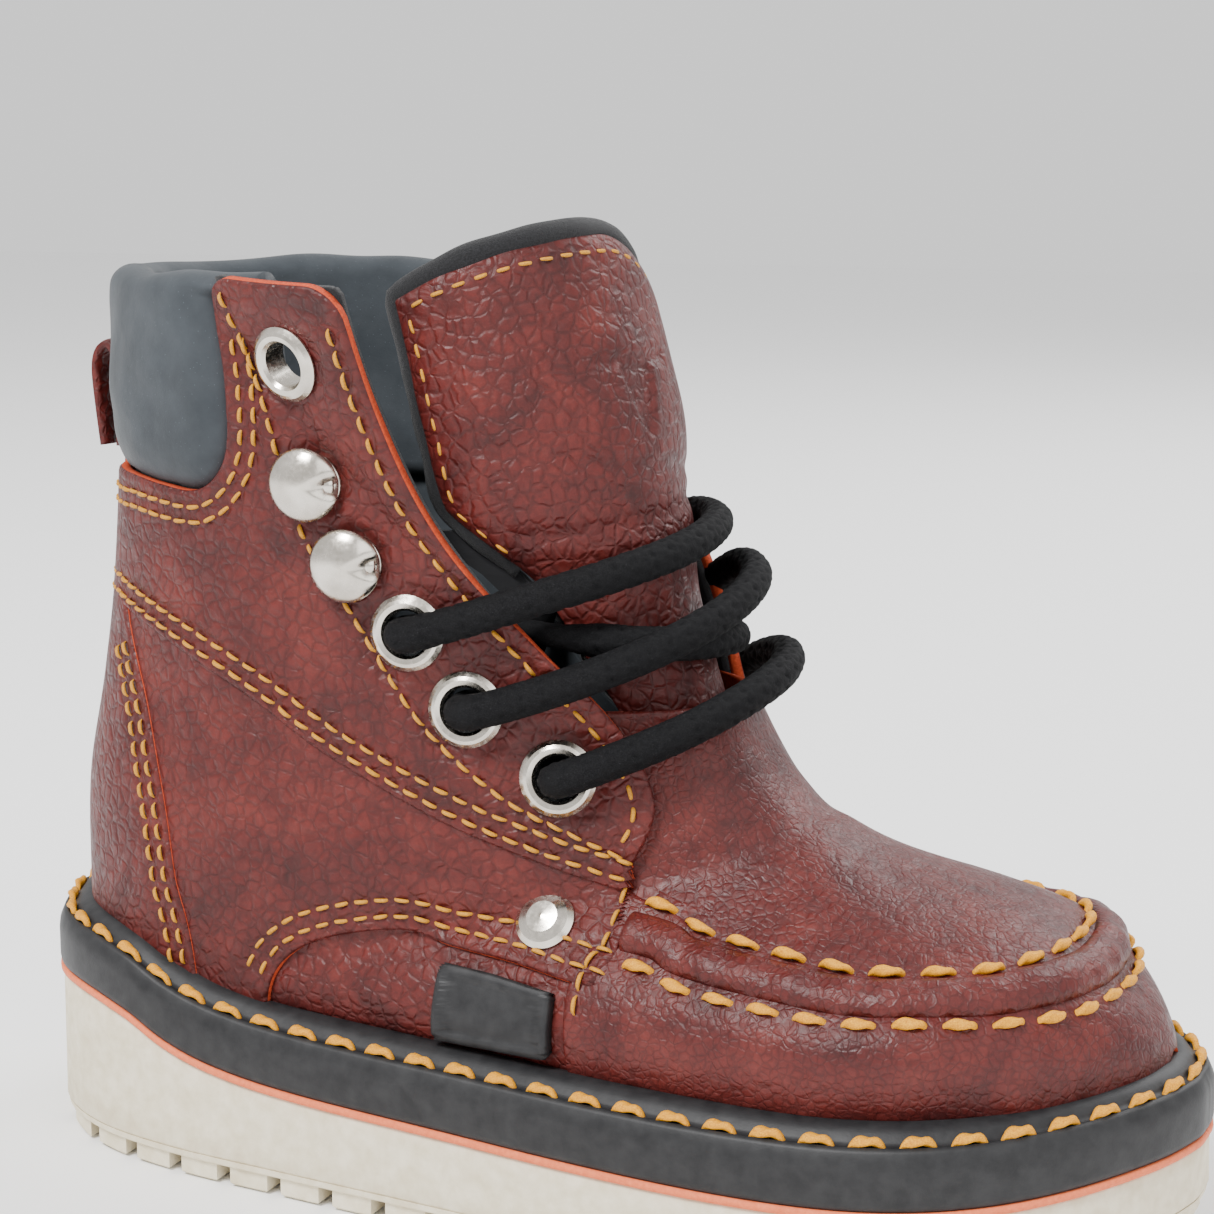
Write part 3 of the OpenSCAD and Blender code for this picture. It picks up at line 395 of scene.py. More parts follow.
def bump(tree, shader, layers):
    """Stacks bump layers of (height, strength, depth in millimetres)."""
    last = None
    for height, strength, depth in layers:
        node = tree.nodes.new("ShaderNodeBump")
        node.inputs["Strength"].default_value = strength
        node.inputs["Distance"].default_value = depth * MM
        tree.links.new(height, node.inputs["Height"])
        if last is not None:
            tree.links.new(last, node.inputs["Normal"])
        last = node.outputs["Normal"]
    tree.links.new(last, shader.inputs["Normal"])


def leather(name, dark, middle, light, pebble, pebble_depth, rough):
    tree, shader = new_material(name, rough, shine=0.30)
    where = place(tree)
    mottle = ramp(tree, noise(tree, where, 0.09, 6, 0.62, 0.6),
                  [(0.30, dark), (0.5, middle), (0.70, light)])
    fine = ramp(tree, noise(tree, where, 1.1, 4, 0.7), [(0.25, grey(0.62)), (0.62, grey(1.0))])
    drift = tree.nodes.new("ShaderNodeVectorMath")
    drift.operation = "MULTIPLY_ADD"
    tree.links.new(coloured_noise(tree, where, 0.35), drift.inputs[0])
    drift.inputs[1].default_value = (1.6, 1.6, 1.6)
    tree.links.new(where, drift.inputs[2])
    cells = voronoi(tree, drift.outputs[0], pebble)
    cracks = ramp(tree, cells, [(0.0, grey(0.60)), (0.16, grey(1.0))])
    colour = mix(tree, "MULTIPLY", 0.85, mottle, fine)
    colour = mix(tree, "MULTIPLY", 0.75, colour, cracks)
    tree.links.new(colour, shader.inputs["Base Color"])
    hills = ramp(tree, cells, [(0.0, grey(0.0)), (0.22, grey(0.62)), (0.7, grey(1.0))])
    hills.node.color_ramp.interpolation = "EASE"
    worn = ramp(tree, noise(tree, where, 0.5, 4), [(0.3, grey(rough - 0.08)), (0.7, grey(rough + 0.12))])
    tree.links.new(worn, shader.inputs["Roughness"])
    bump(tree, shader, [
        (noise(tree, where, 0.22, 3, 0.5, 0.8), 0.55, 0.9),
        (hills, 0.55, pebble_depth),
        (noise(tree, where, 5.0, 3, 0.6), 0.35, 0.08),
    ])


leather("leather", (0.046, 0.0060, 0.0055), (0.088, 0.0100, 0.0080), (0.130, 0.0170, 0.0125), 0.50, 0.42,
        0.46)
leather("leather_smooth", (0.052, 0.0065, 0.0062), (0.090, 0.0115, 0.0095), (0.128, 0.0195, 0.0150), 0.8,
        0.16, 0.42)


def fibrous(name, low, high, grain, depth, rough, sheen=0.0):
    tree, shader = new_material(name, rough, sheen=sheen, shine=0.2)
    where = place(tree)
    colour = ramp(tree, noise(tree, where, grain, 4, 0.7), [(0.3, low), (0.7, high)])
    tree.links.new(colour, shader.inputs["Base Color"])
    bump(tree, shader, [(noise(tree, where, grain * 1.3, 3, 0.7), 0.6, depth)])


fibrous("raw_edge", (0.30, 0.030, 0.010), (0.58, 0.085, 0.028), 3.0, 0.12, 0.8)
fibrous("felt", (0.004, 0.004, 0.0045), (0.020, 0.020, 0.022), 4.0, 0.35, 0.95, 0.15)
fibrous("gold_thread", (0.30, 0.115, 0.010), (0.66, 0.315, 0.035), 6.0, 0.06, 0.5)
fibrous("thick_thread", (0.42, 0.135, 0.006), (0.82, 0.40, 0.022), 5.0, 0.10, 0.5)
fibrous("stripe", (0.62, 0.13, 0.05), (0.78, 0.19, 0.08), 1.5, 0.05, 0.6)
fibrous("board", (0.30, 0.22, 0.13), (0.46, 0.36, 0.24), 2.0, 0.10, 0.85)
fibrous("aglet_plastic", (0.010, 0.010, 0.011), (0.022, 0.022, 0.024), 1.0, 0.02, 0.25)


def make_collar_fabric():
    tree, shader = new_material("collar_fabric", 0.8, sheen=0.1, shine=0.2)
    shader.inputs["Sheen Roughness"].default_value = 0.5
    where = place(tree)
    ground = ramp(tree, noise(tree, where, 0.12, 4, 0.6),
                  [(0.3, (0.026, 0.031, 0.036)), (0.7, (0.044, 0.051, 0.058))])
    specks = ramp(tree, voronoi(tree, where, 1.5, "F1"), [(0.0, grey(5.0)), (0.09, grey(1.0))])
    tree.links.new(mix(tree, "MULTIPLY", 1.0, ground, specks), shader.inputs["Base Color"])
    bump(tree, shader,
         [(noise(tree, where, 3.0, 3, 0.7), 0.4, 0.10), (noise(tree, where, 0.25, 2), 0.3, 0.5)])


make_collar_fabric()


def make_lace_braid():
    tree, shader = new_material("lace_black", 0.75, shine=0.12)
    where = place(tree)
    flecks = noise(tree, where, 5.5, 4, 0.75)
    tree.links.new(ramp(tree, flecks,
                        [(0.42, (0.0025, 0.0025, 0.003)), (0.66, (0.011, 0.011, 0.012)),
                         (0.78, grey(0.09))]),
                   shader.inputs["Base Color"])
    bump(tree, shader, [(flecks, 0.6, 0.22)])


make_lace_braid()


def make_nickel():
    tree, shader = new_material("nickel", 0.2, metallic=1.0)
    where = object_place(tree)
    tree.links.new(ramp(tree, noise(tree, where, 0.35, 3),
                        [(0.3, (0.50, 0.46, 0.40)), (0.7, (0.68, 0.63, 0.56))]),
                   shader.inputs["Base Color"])
    tree.links.new(ramp(tree, noise(tree, where, 1.4, 4), [(0.3, grey(0.16)), (0.7, grey(0.32))]),
                   shader.inputs["Roughness"])
    bump(tree, shader, [(noise(tree, where, 0.6, 3), 0.15, 0.12)])


make_nickel()


def moulded(name, low, high, rough, depth):
    tree, shader = new_material(name, rough, shine=0.3)
    where = object_place(tree)
    tree.links.new(ramp(tree, noise(tree, where, 0.4, 4), [(0.3, low), (0.7, high)]),
                   shader.inputs["Base Color"])
    bump(tree, shader,
         [(noise(tree, where, 3.5, 3, 0.6), 0.3, depth), (noise(tree, where, 0.3, 2), 0.2, 0.3)])


moulded("rubber_black", (0.008, 0.008, 0.009), (0.020, 0.020, 0.021), 0.5, 0.08)
moulded("sole_cream", (0.62, 0.54, 0.38), (0.76, 0.69, 0.53), 0.7, 0.10)
moulded("steel", (0.30, 0.31, 0.33), (0.42, 0.43, 0.45), 0.4, 0.03)
MATERIALS["steel"].node_tree.nodes["Principled BSDF"].inputs["Metallic"].default_value = 1.0


# ---------------------------------------------------------------- mesh helpers


def make_object(name, points, faces, materials, face_material=None, rest=None, smooth=True):
    mesh = bpy.data.meshes.new(name)
    mesh.from_pydata((np.asarray(points, float) * MM).tolist(), [], [list(map(int, f)) for f in faces])
    for m in materials:
        mesh.materials.append(MATERIALS[m])
    if face_material is not None:
        mesh.polygons.foreach_set("material_index", np.asarray(face_material, np.int32))
    mesh.polygons.foreach_set("use_smooth", np.full(len(mesh.polygons), smooth))
    where = np.asarray(points if rest is None else rest, np.float32)
    mesh.attributes.new("place", "FLOAT_VECTOR", "POINT").data.foreach_set("vector", where.ravel())
    mesh.validate()
    obj = bpy.data.objects.new(name, mesh)
    bpy.context.scene.collection.objects.link(obj)
    return obj


def split(v, f, g):
    """Cuts a mesh along the line where g is 0. Returns its points, and the faces above and below 0."""
    up = g >= 0
    count = up[f].sum(1)
    above, below, mixed = f[count == 3], f[count == 0], f[(count == 1) | (count == 2)]
    if not len(mixed):
        return v, g, above, below
    flags = up[mixed]
    alone_up = flags.sum(1) == 1
    first = np.where(alone_up, flags.argmax(1), (~flags).argmax(1))
    turn = (first[:, None] + np.arange(3)) % 3
    a, b, c = np.take_along_axis(mixed, turn, 1).T
    edges = np.sort(np.concatenate([np.stack([a, b], 1), np.stack([a, c], 1)]), 1)
    kinds, index = np.unique(edges, axis=0, return_inverse=True)
    index = index.reshape(-1) + len(v)
    share = g[kinds[:, 0]] / (g[kinds[:, 0]] - g[kinds[:, 1]])
    added = v[kinds[:, 0]] + (v[kinds[:, 1]] - v[kinds[:, 0]]) * share[:, None]
    ab, ac = index[: len(a)], index[len(a):]
    lone = np.stack([a, ab, ac], 1)
    rest = np.concatenate([np.stack([ab, b, c], 1), np.stack([ab, c, ac], 1)])
    twice = np.concatenate([alone_up, alone_up])
    above = np.concatenate([above, lone[alone_up], rest[~twice]])
    below = np.concatenate([below, lone[~alone_up], rest[twice]])
    return np.vstack([v, added]), np.concatenate([g, np.zeros(len(added))]), above, below


def line_distance(p, line):
    """Distance from each 2-D point to a line of points."""
    a, b = line[:-1], line[1:]
    best = np.full(len(p), 1e9)
    for s, e in zip(a, b):
        d = e - s
        t = np.clip(((p - s) @ d) / max(d @ d, 1e-9), 0, 1)
        best = np.minimum(best, np.linalg.norm(p - s - t[:, None] * d, axis=1))
    return best


def inside(p, loop):
    """True for each 2-D point inside a closed loop."""
    result = np.zeros(len(p), bool)
    x, y = p.T
    for (x0, y0), (x1, y1) in zip(loop, np.roll(loop, -1, 0)):
        crosses = (y0 > y) != (y1 > y)
        with np.errstate(divide="ignore", invalid="ignore"):
            result ^= crosses & (x < (x1 - x0) * (y - y0) / (y1 - y0) + x0)
    return result


def area_field(p, line, loop):
    """Distance to line, positive inside the loop that the line is part of."""
    return np.where(inside(p, loop), 1, -1) * line_distance(p, line)


def loop_of(line, *corners):
    return np.vstack([line, np.array(corners, float)])


def ring_faces(rings, count, base=0):
    """Faces between rings of count points each."""
    i, j = np.meshgrid(np.arange(rings - 1), np.arange(count), indexing="ij")
    a, b = base + (i * count + j).ravel(), base + (i * count + (j + 1) % count).ravel()
    return np.stack([a, b, b + count, a + count], 1).tolist()


def end_faces(rings, count, base=0):
    """Faces that close the first and the last ring."""
    last = base + (rings - 1) * count
    return [list(range(base, base + count))[::-1], list(range(last, last + count))]


def bridge_faces(count, base, flip):
    """Faces across one ring whose second half mirrors its first."""
    faces = []
    for k in range(count // 2):
        quad = [base + k, base + k + 1, base + (count - k - 1) % count, base + (count - k) % count]
        quad = list(dict.fromkeys(quad))
        faces.append(quad[::-1] if flip else quad)
    return faces


def stand_for(piece, slot_name, body, *nodes):
    """Puts a piece in the place of CAD nodes, on the body that it rides on. Its slot_name is not used."""
    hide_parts(*nodes)
    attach(piece, body)


def boundary(f):
    edges = np.concatenate([f[:, [0, 1]], f[:, [1, 2]], f[:, [2, 0]]])
    key = np.sort(edges, 1)
    _, first, count = np.unique(key, axis=0, return_index=True, return_counts=True)
    return edges[first[count == 1]]


def ripple(p, size, depth, seed=0):
    """A smooth random rise and fall over a surface, the same on each run."""
    draw = np.random.default_rng(seed)
    total = np.zeros(len(p))
    for _ in range(7):
        way = draw.normal(size=3)
        way /= np.linalg.norm(way) * size * draw.uniform(0.6, 1.5)
        total += np.sin(p @ way * 2 * math.pi + draw.uniform(0, 2 * math.pi))
    return total * depth / 3


EDGE_ROUND = 0.8
SEAM_WIDTH = 0.8
SEAM_DEPTH = 0.28


def rounded(a, b, r):
    """Where two areas meet, with the corner between them rounded to radius r."""
    return np.where((a < r) & (b < r), r - np.hypot(np.maximum(r - a, 0), np.maximum(r - b, 0)),
                    np.minimum(a, b))


def spot_distance(p, spot):
    return np.linalg.norm(p - spot, axis=1)


def panel(name, field, top, bottom, materials, seams=(), bend=None, shape=None, edge_drop=0.45,
          crease=0.16,
          dents=(), holes=()):
    """A piece of leather cut from the foot form's skin where field is above 0.

    top and bottom are how far its two faces stand from the skin, seams are lines of stitches that
    pull it in, shape adds to top, and bend is the side whose facing top it reaches."""
    g = field(SKIN_POINTS)
    for spot, radius in holes:
        g = np.minimum(g, spot_distance(SKIN_POINTS, spot) - radius)
    faces = SKIN_FACES[(g[SKIN_FACES] > -4).any(1)]
    v = np.hstack([SKIN_POINTS, SKIN_NORMALS])
    used, index = np.unique(faces, return_inverse=True)
    v, g, faces = v[used], g[used], index.reshape(-1, 3)
    v, g, faces, _ = split(v, faces, g)
    for inset in (0.3, EDGE_ROUND):
        v, moved, up, down = split(v, faces, g - inset)
        g, faces = moved + inset, np.concatenate([up, down])
    used, index = np.unique(faces, return_inverse=True)
    v, g, faces = v[used], g[used], index.reshape(-1, 3)
    p, n = v[:, :3], v[:, 3:] / np.linalg.norm(v[:, 3:], axis=1, keepdims=True)
    near = np.clip(1 - g / EDGE_ROUND, 0, 1)
    high = top - edge_drop * (1 - np.sqrt(1 - near**2)) + ripple(p, 26, crease, 3)
    if shape is not None:
        high = high + shape(p)
    for line, view in seams:
        flat = p[:, [0, 2]] if view == "side" else np.stack([p[:, 0], np.abs(p[:, 1] - swing(p[:, 0]))],
                                                            1)
        high = high - SEAM_DEPTH * np.exp(-((line_distance(flat, line) / SEAM_WIDTH) ** 2))
    for spot, radius, level in dents:
        share = smoothstep((spot_distance(p, spot) - radius) / 2.6)
        high = np.minimum(high, level) * (1 - share) + high * share
    outer = p + n * high[:, None]
    low = bottom if np.isscalar(bottom) else bottom(p)
    inner = p + n * (np.zeros(len(p)) + low)[:, None]
    if bend is not None:
        outer, inner = splay(outer, bend), splay(inner, bend)
    count = len(p)
    edge = boundary(faces)
    rim = np.stack([edge[:, 1], edge[:, 0], edge[:, 0] + count, edge[:, 1] + count], 1)
    all_faces = faces.tolist() + (faces[:, ::-1] + count).tolist() + rim.tolist()
    kinds = [0] * len(faces) + [len(materials) - 1] * (len(faces) + len(rim))
    rest = np.vstack([p, p + n * low if np.isscalar(low) else p])
    return make_object(name, np.vstack([outer, inner]), all_faces, materials, kinds, rest)


def stitches(name, rows, material, length, gap, thick, twist=0.0, lift=0.12, sides=8, rings=7):
    """One mesh with every stitch of the rows, each row a pair of points and normals."""
    points, faces = [], []
    for line, normals in rows:
        run = run_along(line)
        count = int(run[-1] / (length + gap))
        if count < 1:
            continue
        pitch = run[-1] / count
        for k in range(count):
            s = (k + 0.5) * pitch + np.linspace(-0.5, 0.5, rings) * (pitch - gap)
            mid = np.stack([np.interp(s, run, line[:, i]) for i in range(3)], 1)
            nor = np.stack([np.interp(s, run, normals[:, i]) for i in range(3)], 1)
            nor /= np.linalg.norm(nor, axis=1, keepdims=True)
            way = directions(mid)
            side = np.cross(way, nor)
            along = np.linspace(-1, 1, rings)
            width = thick / 2 * (1 - 0.55 * np.abs(along) ** 3) * rng.uniform(0.92, 1.06)
            height = lift - (thick * 0.9 + lift) * np.abs(along) ** 4
            lean = rng.uniform(-0.12, 0.12) * along
            base = len(points)
            for r in range(rings):
                for q in range(sides):
                    a = 2 * math.pi * q / sides
                    out = 1 + twist * math.cos(2 * a - along[r] * 5)
                    points.append(mid[r] + nor[r] * (height[r] + width[r] * out * math.sin(a))
                                  + side[r] * (lean[r] + width[r] * out * math.cos(a)))
            faces += ring_faces(rings, sides, base) + end_faces(rings, sides, base)
    return make_object(name, points, faces, [material])


def tube(name, line, radius, material, sides=16, braid=None):
    """A tube along a line. braid is (strands, pitch, depth) of a round plait."""
    line = np.asarray(line, float)
    radius = np.broadcast_to(radius, (len(line),))
    way = directions(line)
    up = np.array([0.0, 0, 1]) if abs(way[0][2]) < 0.9 else np.array([1.0, 0, 0])
    run = run_along(line)
    angle = 2 * math.pi * np.arange(sides) / sides
    points, rest = [], []
    for i, p in enumerate(line):
        up = up - (up @ way[i]) * way[i]
        up /= np.linalg.norm(up)
        side = np.cross(way[i], up)
        r = np.full(sides, radius[i])
        if braid is not None:
            strands, pitch, depth = braid
            turn = 2 * math.pi * run[i] / pitch
            one, two = np.cos(strands * angle / 2 + turn), np.cos(strands * angle / 2 - turn)
            r = r * (1 - depth + depth * np.maximum(np.abs(one), np.abs(two)) ** 0.7)
        points.append(p + r[:, None] * (np.cos(angle)[:, None] * up + np.sin(angle)[:, None] * side))
        rest.append(np.stack([radius[i] * np.cos(angle), radius[i] * np.sin(angle),
                              np.full(sides, run[i])], 1))
    faces = ring_faces(len(line), sides) + end_faces(len(line), sides)
    return make_object(name, np.vstack(points), faces, [material], rest=np.vstack(rest))


# ---------------------------------------------------------------- laces

LACE_D = 5.0
SQUEEZED = 0.7
BAR_1 = [[11, -24, 66.5], [20, -16.5, 70.5], [25.5, -6, 74], [26.5, 5, 76], [23, 15, 76.5],
         [16, 22.5, 74], [9, 25.5, 69]]
BAR_2 = [[-2, -27.5, 74.5], [9, -22.5, 78.5], [17.5, -13.5, 82.5], [21.5, -2, 86], [20.5, 9, 88.5],
         [14, 18.5, 88.5],
         [4, 25, 82]]
BAR_3 = [[-10.5, -28.5, 85], [0, -25.5, 88.5], [9, -18.5, 91.5], [15, -8, 94], [15.8, 3, 95.5],
         [12, 14, 96],
         [4, 22.5, 95], [-7, 28, 89]]
RUN_1 = [[-3, -18.5, 68]]
RUN_2 = [[-2, 17, 74.5], [6, 15, 76.5], [10.5, 13, 78], [14, 12.4, 79], [17.3, 8.4, 79.8],
         [19.2, 2.5, 80.5],
         [18.3, -6.8, 81.3], [13.2, -14.2, 82], [8, -17.2, 82.5], [2.5, -18.8, 83], [-4, -18.6, 83.2]]
LOW_END = [[1.5, 15.5, 57], [0.5, 15, 50], [1.5, 14.5, 42], [6, 13.5, 34.5], [14, 13, 30], [28, 14, 28.9],
           [40, 10, 28.6], [46, 1, 28.8], [41, -9, 28.6], [29, -14, 28.8], [15, -15, 29.5], [3, -12, 30],
           [-3, -3, 30.3], [1, 6, 30.1], [11, 7.5, 29.6], [23, 6.5, 29.1]]
HIGH_END = [[-20, 18, 75], [-23.5, 17.5, 65], [-24, 17.5, 54], [-24, 17.5, 44], [-25.5, 17.5, 36.5],
            [-34, 17, 32.2],
            [-48, 16, 32.1], [-60, 10.5, 32.4], [-64, 1, 32.5], [-60, -9, 32.4], [-50, -15, 32.2],
            [-38, -15, 31.9],
            [-28, -10, 31.5], [-25, 0, 31.4], [-31, 7, 31.6], [-41, 6, 31.9]]


def form_point(t, q):
    """The foot form's point and normal at girth line t and place q, as the CAD source counts them."""

    def at(t, q):
        s = spline(GIRTHS, np.array([t]))[0]
        v, side = (q, -1) if q <= 1 else (2 - q, 1)
        a = 0.5 - 0.5 * math.cos(math.pi * v)
        u = 1 - a / s[7] if a < s[7] else (a - s[7]) / (1 - s[7])
        y = side * s[4] * max(0, 1 - u * u) ** ((s[5] if a < s[7] else s[6]) / 2)
        x = s[0] + (s[2] - s[0]) * a
        return np.array([x, y + float(swing(np.array(x))),
                         s[1] + (s[3] - s[1]) * a - s[8] * y * y * a**3])

    step = 0.01
    n = np.cross(at(t + step, q) - at(t - step, q), at(t, q + step) - at(t, q - step))
    return at(t, q), n / np.linalg.norm(n)


def eyelet_point(e, side, off):
    t, q = e
    p, n = form_point(t, q if side == LATERAL else 2 - q)
    return p + off * n


INSIDE_OFF, OUTSIDE_OFF = -5.5, 2.4


def bar(e, points, start, stop):
    return [(eyelet_point(e, start, INSIDE_OFF), SQUEEZED), (eyelet_point(e, start, OUTSIDE_OFF), 1.0),
            *[(np.array(p, float), 1.0) for p in points],
            (eyelet_point(e, stop, OUTSIDE_OFF), 1.0), (eyelet_point(e, stop, INSIDE_OFF), SQUEEZED)]


AGLET_L = 14.0
TIP_OVERLAP = 3.0


def make_tip(name, at, way):
    """Moulded tip on the end of a lace, with a rolled end and a waist where it grips the braid."""
    way = way / np.linalg.norm(way)
    along = np.array([-TIP_OVERLAP, -TIP_OVERLAP + 0.3, -1.4, 0.2, 1.5, AGLET_L * 0.5, AGLET_L - 1.0,
                      AGLET_L - 0.3, AGLET_L])
    radius = np.array([2.62, 2.72, 2.66, 2.2, 1.95, 1.9, 1.85, 1.6, 1.0])
    tip = tube(name, at + along[:, None] * way, radius, "aglet_plastic", 20)
    stand_for(tip, "aglet_plastic", "boot", "aglets")
    return tip


def make_laces():
    route = bar(EYELETS[0], BAR_1[::-1], MEDIAL, LATERAL)
    route += [(np.array(p, float), SQUEEZED) for p in RUN_1]
    route += bar(EYELETS[1], BAR_2, LATERAL, MEDIAL)
    route += [(np.array(p, float), SQUEEZED if i < 3 or i > 8 else 1.0) for i, p in enumerate(RUN_2)]
    route += bar(EYELETS[2], BAR_3, LATERAL, MEDIAL)
    rows = np.array([[*p, w * LACE_D / 2] for p, w in route])
    fine = evenly(smooth_line(rows, 10), 0.45)
    braid = (8, 6.0, 0.26)
    held = tube("lace_held", fine[:, :3], fine[:, 3], "lace_black", 24, braid)
    stand_for(held, "lace_black", "boot", "lace")
    for name, points, e, node in (("lace_end_toe", LOW_END, EYELETS[0], "lace_end_low"),
                                  ("lace_end_heel", HIGH_END, EYELETS[2], "lace_end_high")):
        rows = np.array([[*eyelet_point(e, MEDIAL, INSIDE_OFF), SQUEEZED * LACE_D / 2]]
                        + [[*p, LACE_D / 2] for p in points])
        fine = evenly(smooth_line(rows, 10), 0.45)
        obj = tube(name, fine[:, :3], fine[:, 3], "lace_black", 24, braid)
        stand_for(obj, "lace_black", "boot", node)
        tip = make_tip(name + "_tip", fine[-1, :3], fine[-1, :3] - fine[-5, :3])


make_laces()


# ---------------------------------------------------------------- leather panels

COLLAR_LINE = smooth_line(COLLAR_EDGE)
COLLAR_LOOP = loop_of(COLLAR_LINE, [-95, 140])
MID_LINE = smooth_line(np.vstack([MID_SEAM, [[17, 47.5]]]))
PATCH_LINE = smooth_line(PATCH_EDGE)
ARCH_LINE = smooth_line(np.vstack([[[-41, 20]], ARCH[1:], [[15, 37.3]]]))
VAMP_LINE = smooth_line(np.vstack([[[15.8, 53]], VAMP_BACK[:4], [[13.6, 24]], VAMP_BACK[4:]]))
FRONT_LINE = {s: smooth_line(FRONT_EDGE[s]) for s in (LATERAL, MEDIAL)}
PLUG_LINE = smooth_line(PLUG_EDGE)


def side_view(p):
    return p[:, [0, 2]]


def beyond_front(p, side):
    """Positive in front of the facing's front edge."""
    line = FRONT_LINE[side]
    return area_field(side_view(p), line, loop_of(line, [-21.5, 150], [120, 150], [120, 45], [14.4, 45]))


def above_mid(p):
    return area_field(side_view(p), MID_LINE, loop_of(MID_LINE, [40, 60], [40, 160], [-95, 160]))


def in_collar(p):
    return area_field(side_view(p), COLLAR_LINE, COLLAR_LOOP)


def in_patch(p):
    loop = loop_of(PATCH_LINE, [-110, 10], [-110, 84], [-76, 84])
    return area_field(side_view(p), PATCH_LINE, loop)


def in_arch(p):
    return area_field(side_view(p), ARCH_LINE, loop_of(ARCH_LINE, [15, 5], [-41, 5]))


def in_vamp(p):
    return area_field(side_view(p), VAMP_LINE, loop_of(VAMP_LINE, [130, 10], [130, 53]))


def in_plug(p):
    """Positive inside the plug's seam, seen from above, on the top of the form."""
    flat = np.stack([p[:, 0], np.abs(p[:, 1] - swing(p[:, 0]))], 1)
    loop = loop_of(PLUG_LINE, [72, -5], [-60, -5], [-60, 21])
    return area_field(flat, PLUG_LINE, loop)


def on_one_side(p, side, gap=0.0):
    return side * (p[:, 1] - swing(p[:, 0])) - gap


def above_band(p, sunk):
    return p[:, 2] - np.interp(p[:, 0], BAND_TOP[:, 0], BAND_TOP[:, 1]) + sunk


BACK_STITCH = smooth_line(np.array([[-41.7, 130.9], [-37, 115], [-32.6, 98.4], [-25.5, 86.7], [-15.1, 71],
                                    [-3.8, 61.2],
                                    [6.6, 56.1], [13.5, 53]], float))


def offset_line(line, amount):
    way = directions(line)
    return line + amount * np.stack([-way[:, 1], way[:, 0]], 1)


def metal_spots(side):
    """Eyelets, hooks and rivet of one side, as points on the skin with the radius of their flange."""
    rows = [(e, 5.6, 3.75) for e in EYELETS + [TOP_EYELET]] + [(h, 3.6, None) for h in HOOKS] + [(RIVET,
                                                                                                  4.5,
                                                                                                  None)]
    return [(eyelet_point(e, side, 0.0), flange, hole) for e, flange, hole in rows]


def level_line(z, front_x, count):
    """The form's outline at height z, from the outer side's front_x round the heel to the inner side's."""
    rows = []
    centre = np.array([-40.0, 0.0])
    start = math.atan2(-30.0, front_x + 40.0)
    for angle in np.linspace(start, -2 * math.pi - start, count):
        way = np.array([math.cos(angle), math.sin(angle)])
        origin = centre + way * 80
        rows.append(drop((*origin, z), (*-way, 0)))
    return np.array([r[0] for r in rows]), np.array([r[1] for r in rows])


# thread, then length of a stitch, gap to the next and thickness
FINE_STITCH = ("gold_thread", 2.5, 0.55, 0.66)
# how far the leather runs down behind the rubber band, then each piece's two faces off the form
SUNK = 3.0
UPPER_TOP, UPPER_LOW = 0.9, -0.9
LOWER_TOP, LOWER_LOW = 0.25, -1.3
WALL_TOP, WALL_LOW = -0.2, -1.8


def seam_rows(side):
    """Side-view stitch lines of one side: on the upper quarter and on the pieces below it."""
    front = FRONT_LINE[side]
    upper = {
        "front": offset_line(front, 2.6)[3:-8],
        "back": BACK_STITCH,
        "collar_1": offset_line(COLLAR_LINE, -2.4)[9:-10],
        "collar_2": offset_line(COLLAR_LINE, -4.6)[9:-10],
        "mid_1": offset_line(MID_LINE, 1.6)[8:-6],
        "mid_2": offset_line(MID_LINE, 4.0)[8:-6],
    }
    lower = {
        "patch_1": offset_line(PATCH_LINE, 1.8)[8:42],
        "patch_2": offset_line(PATCH_LINE, 4.2)[8:42],
        "arch_1": offset_line(ARCH_LINE, 2.0)[8:-2],
        "arch_2": offset_line(ARCH_LINE, 4.4)[8:-2],
        "vamp": offset_line(VAMP_LINE, -2.2)[8:36],
    }
    return upper, lower


def row_on_side(line, side, off, bend):
    line = evenly(line, 1.0)
    p, n = on_side(line, side)
    p = p + n * off
    if bend:
        moved = splay(np.vstack([p, p + n]), side)
        p, n = moved[: len(p)], moved[len(p):] - moved[: len(p)]
    return p, n


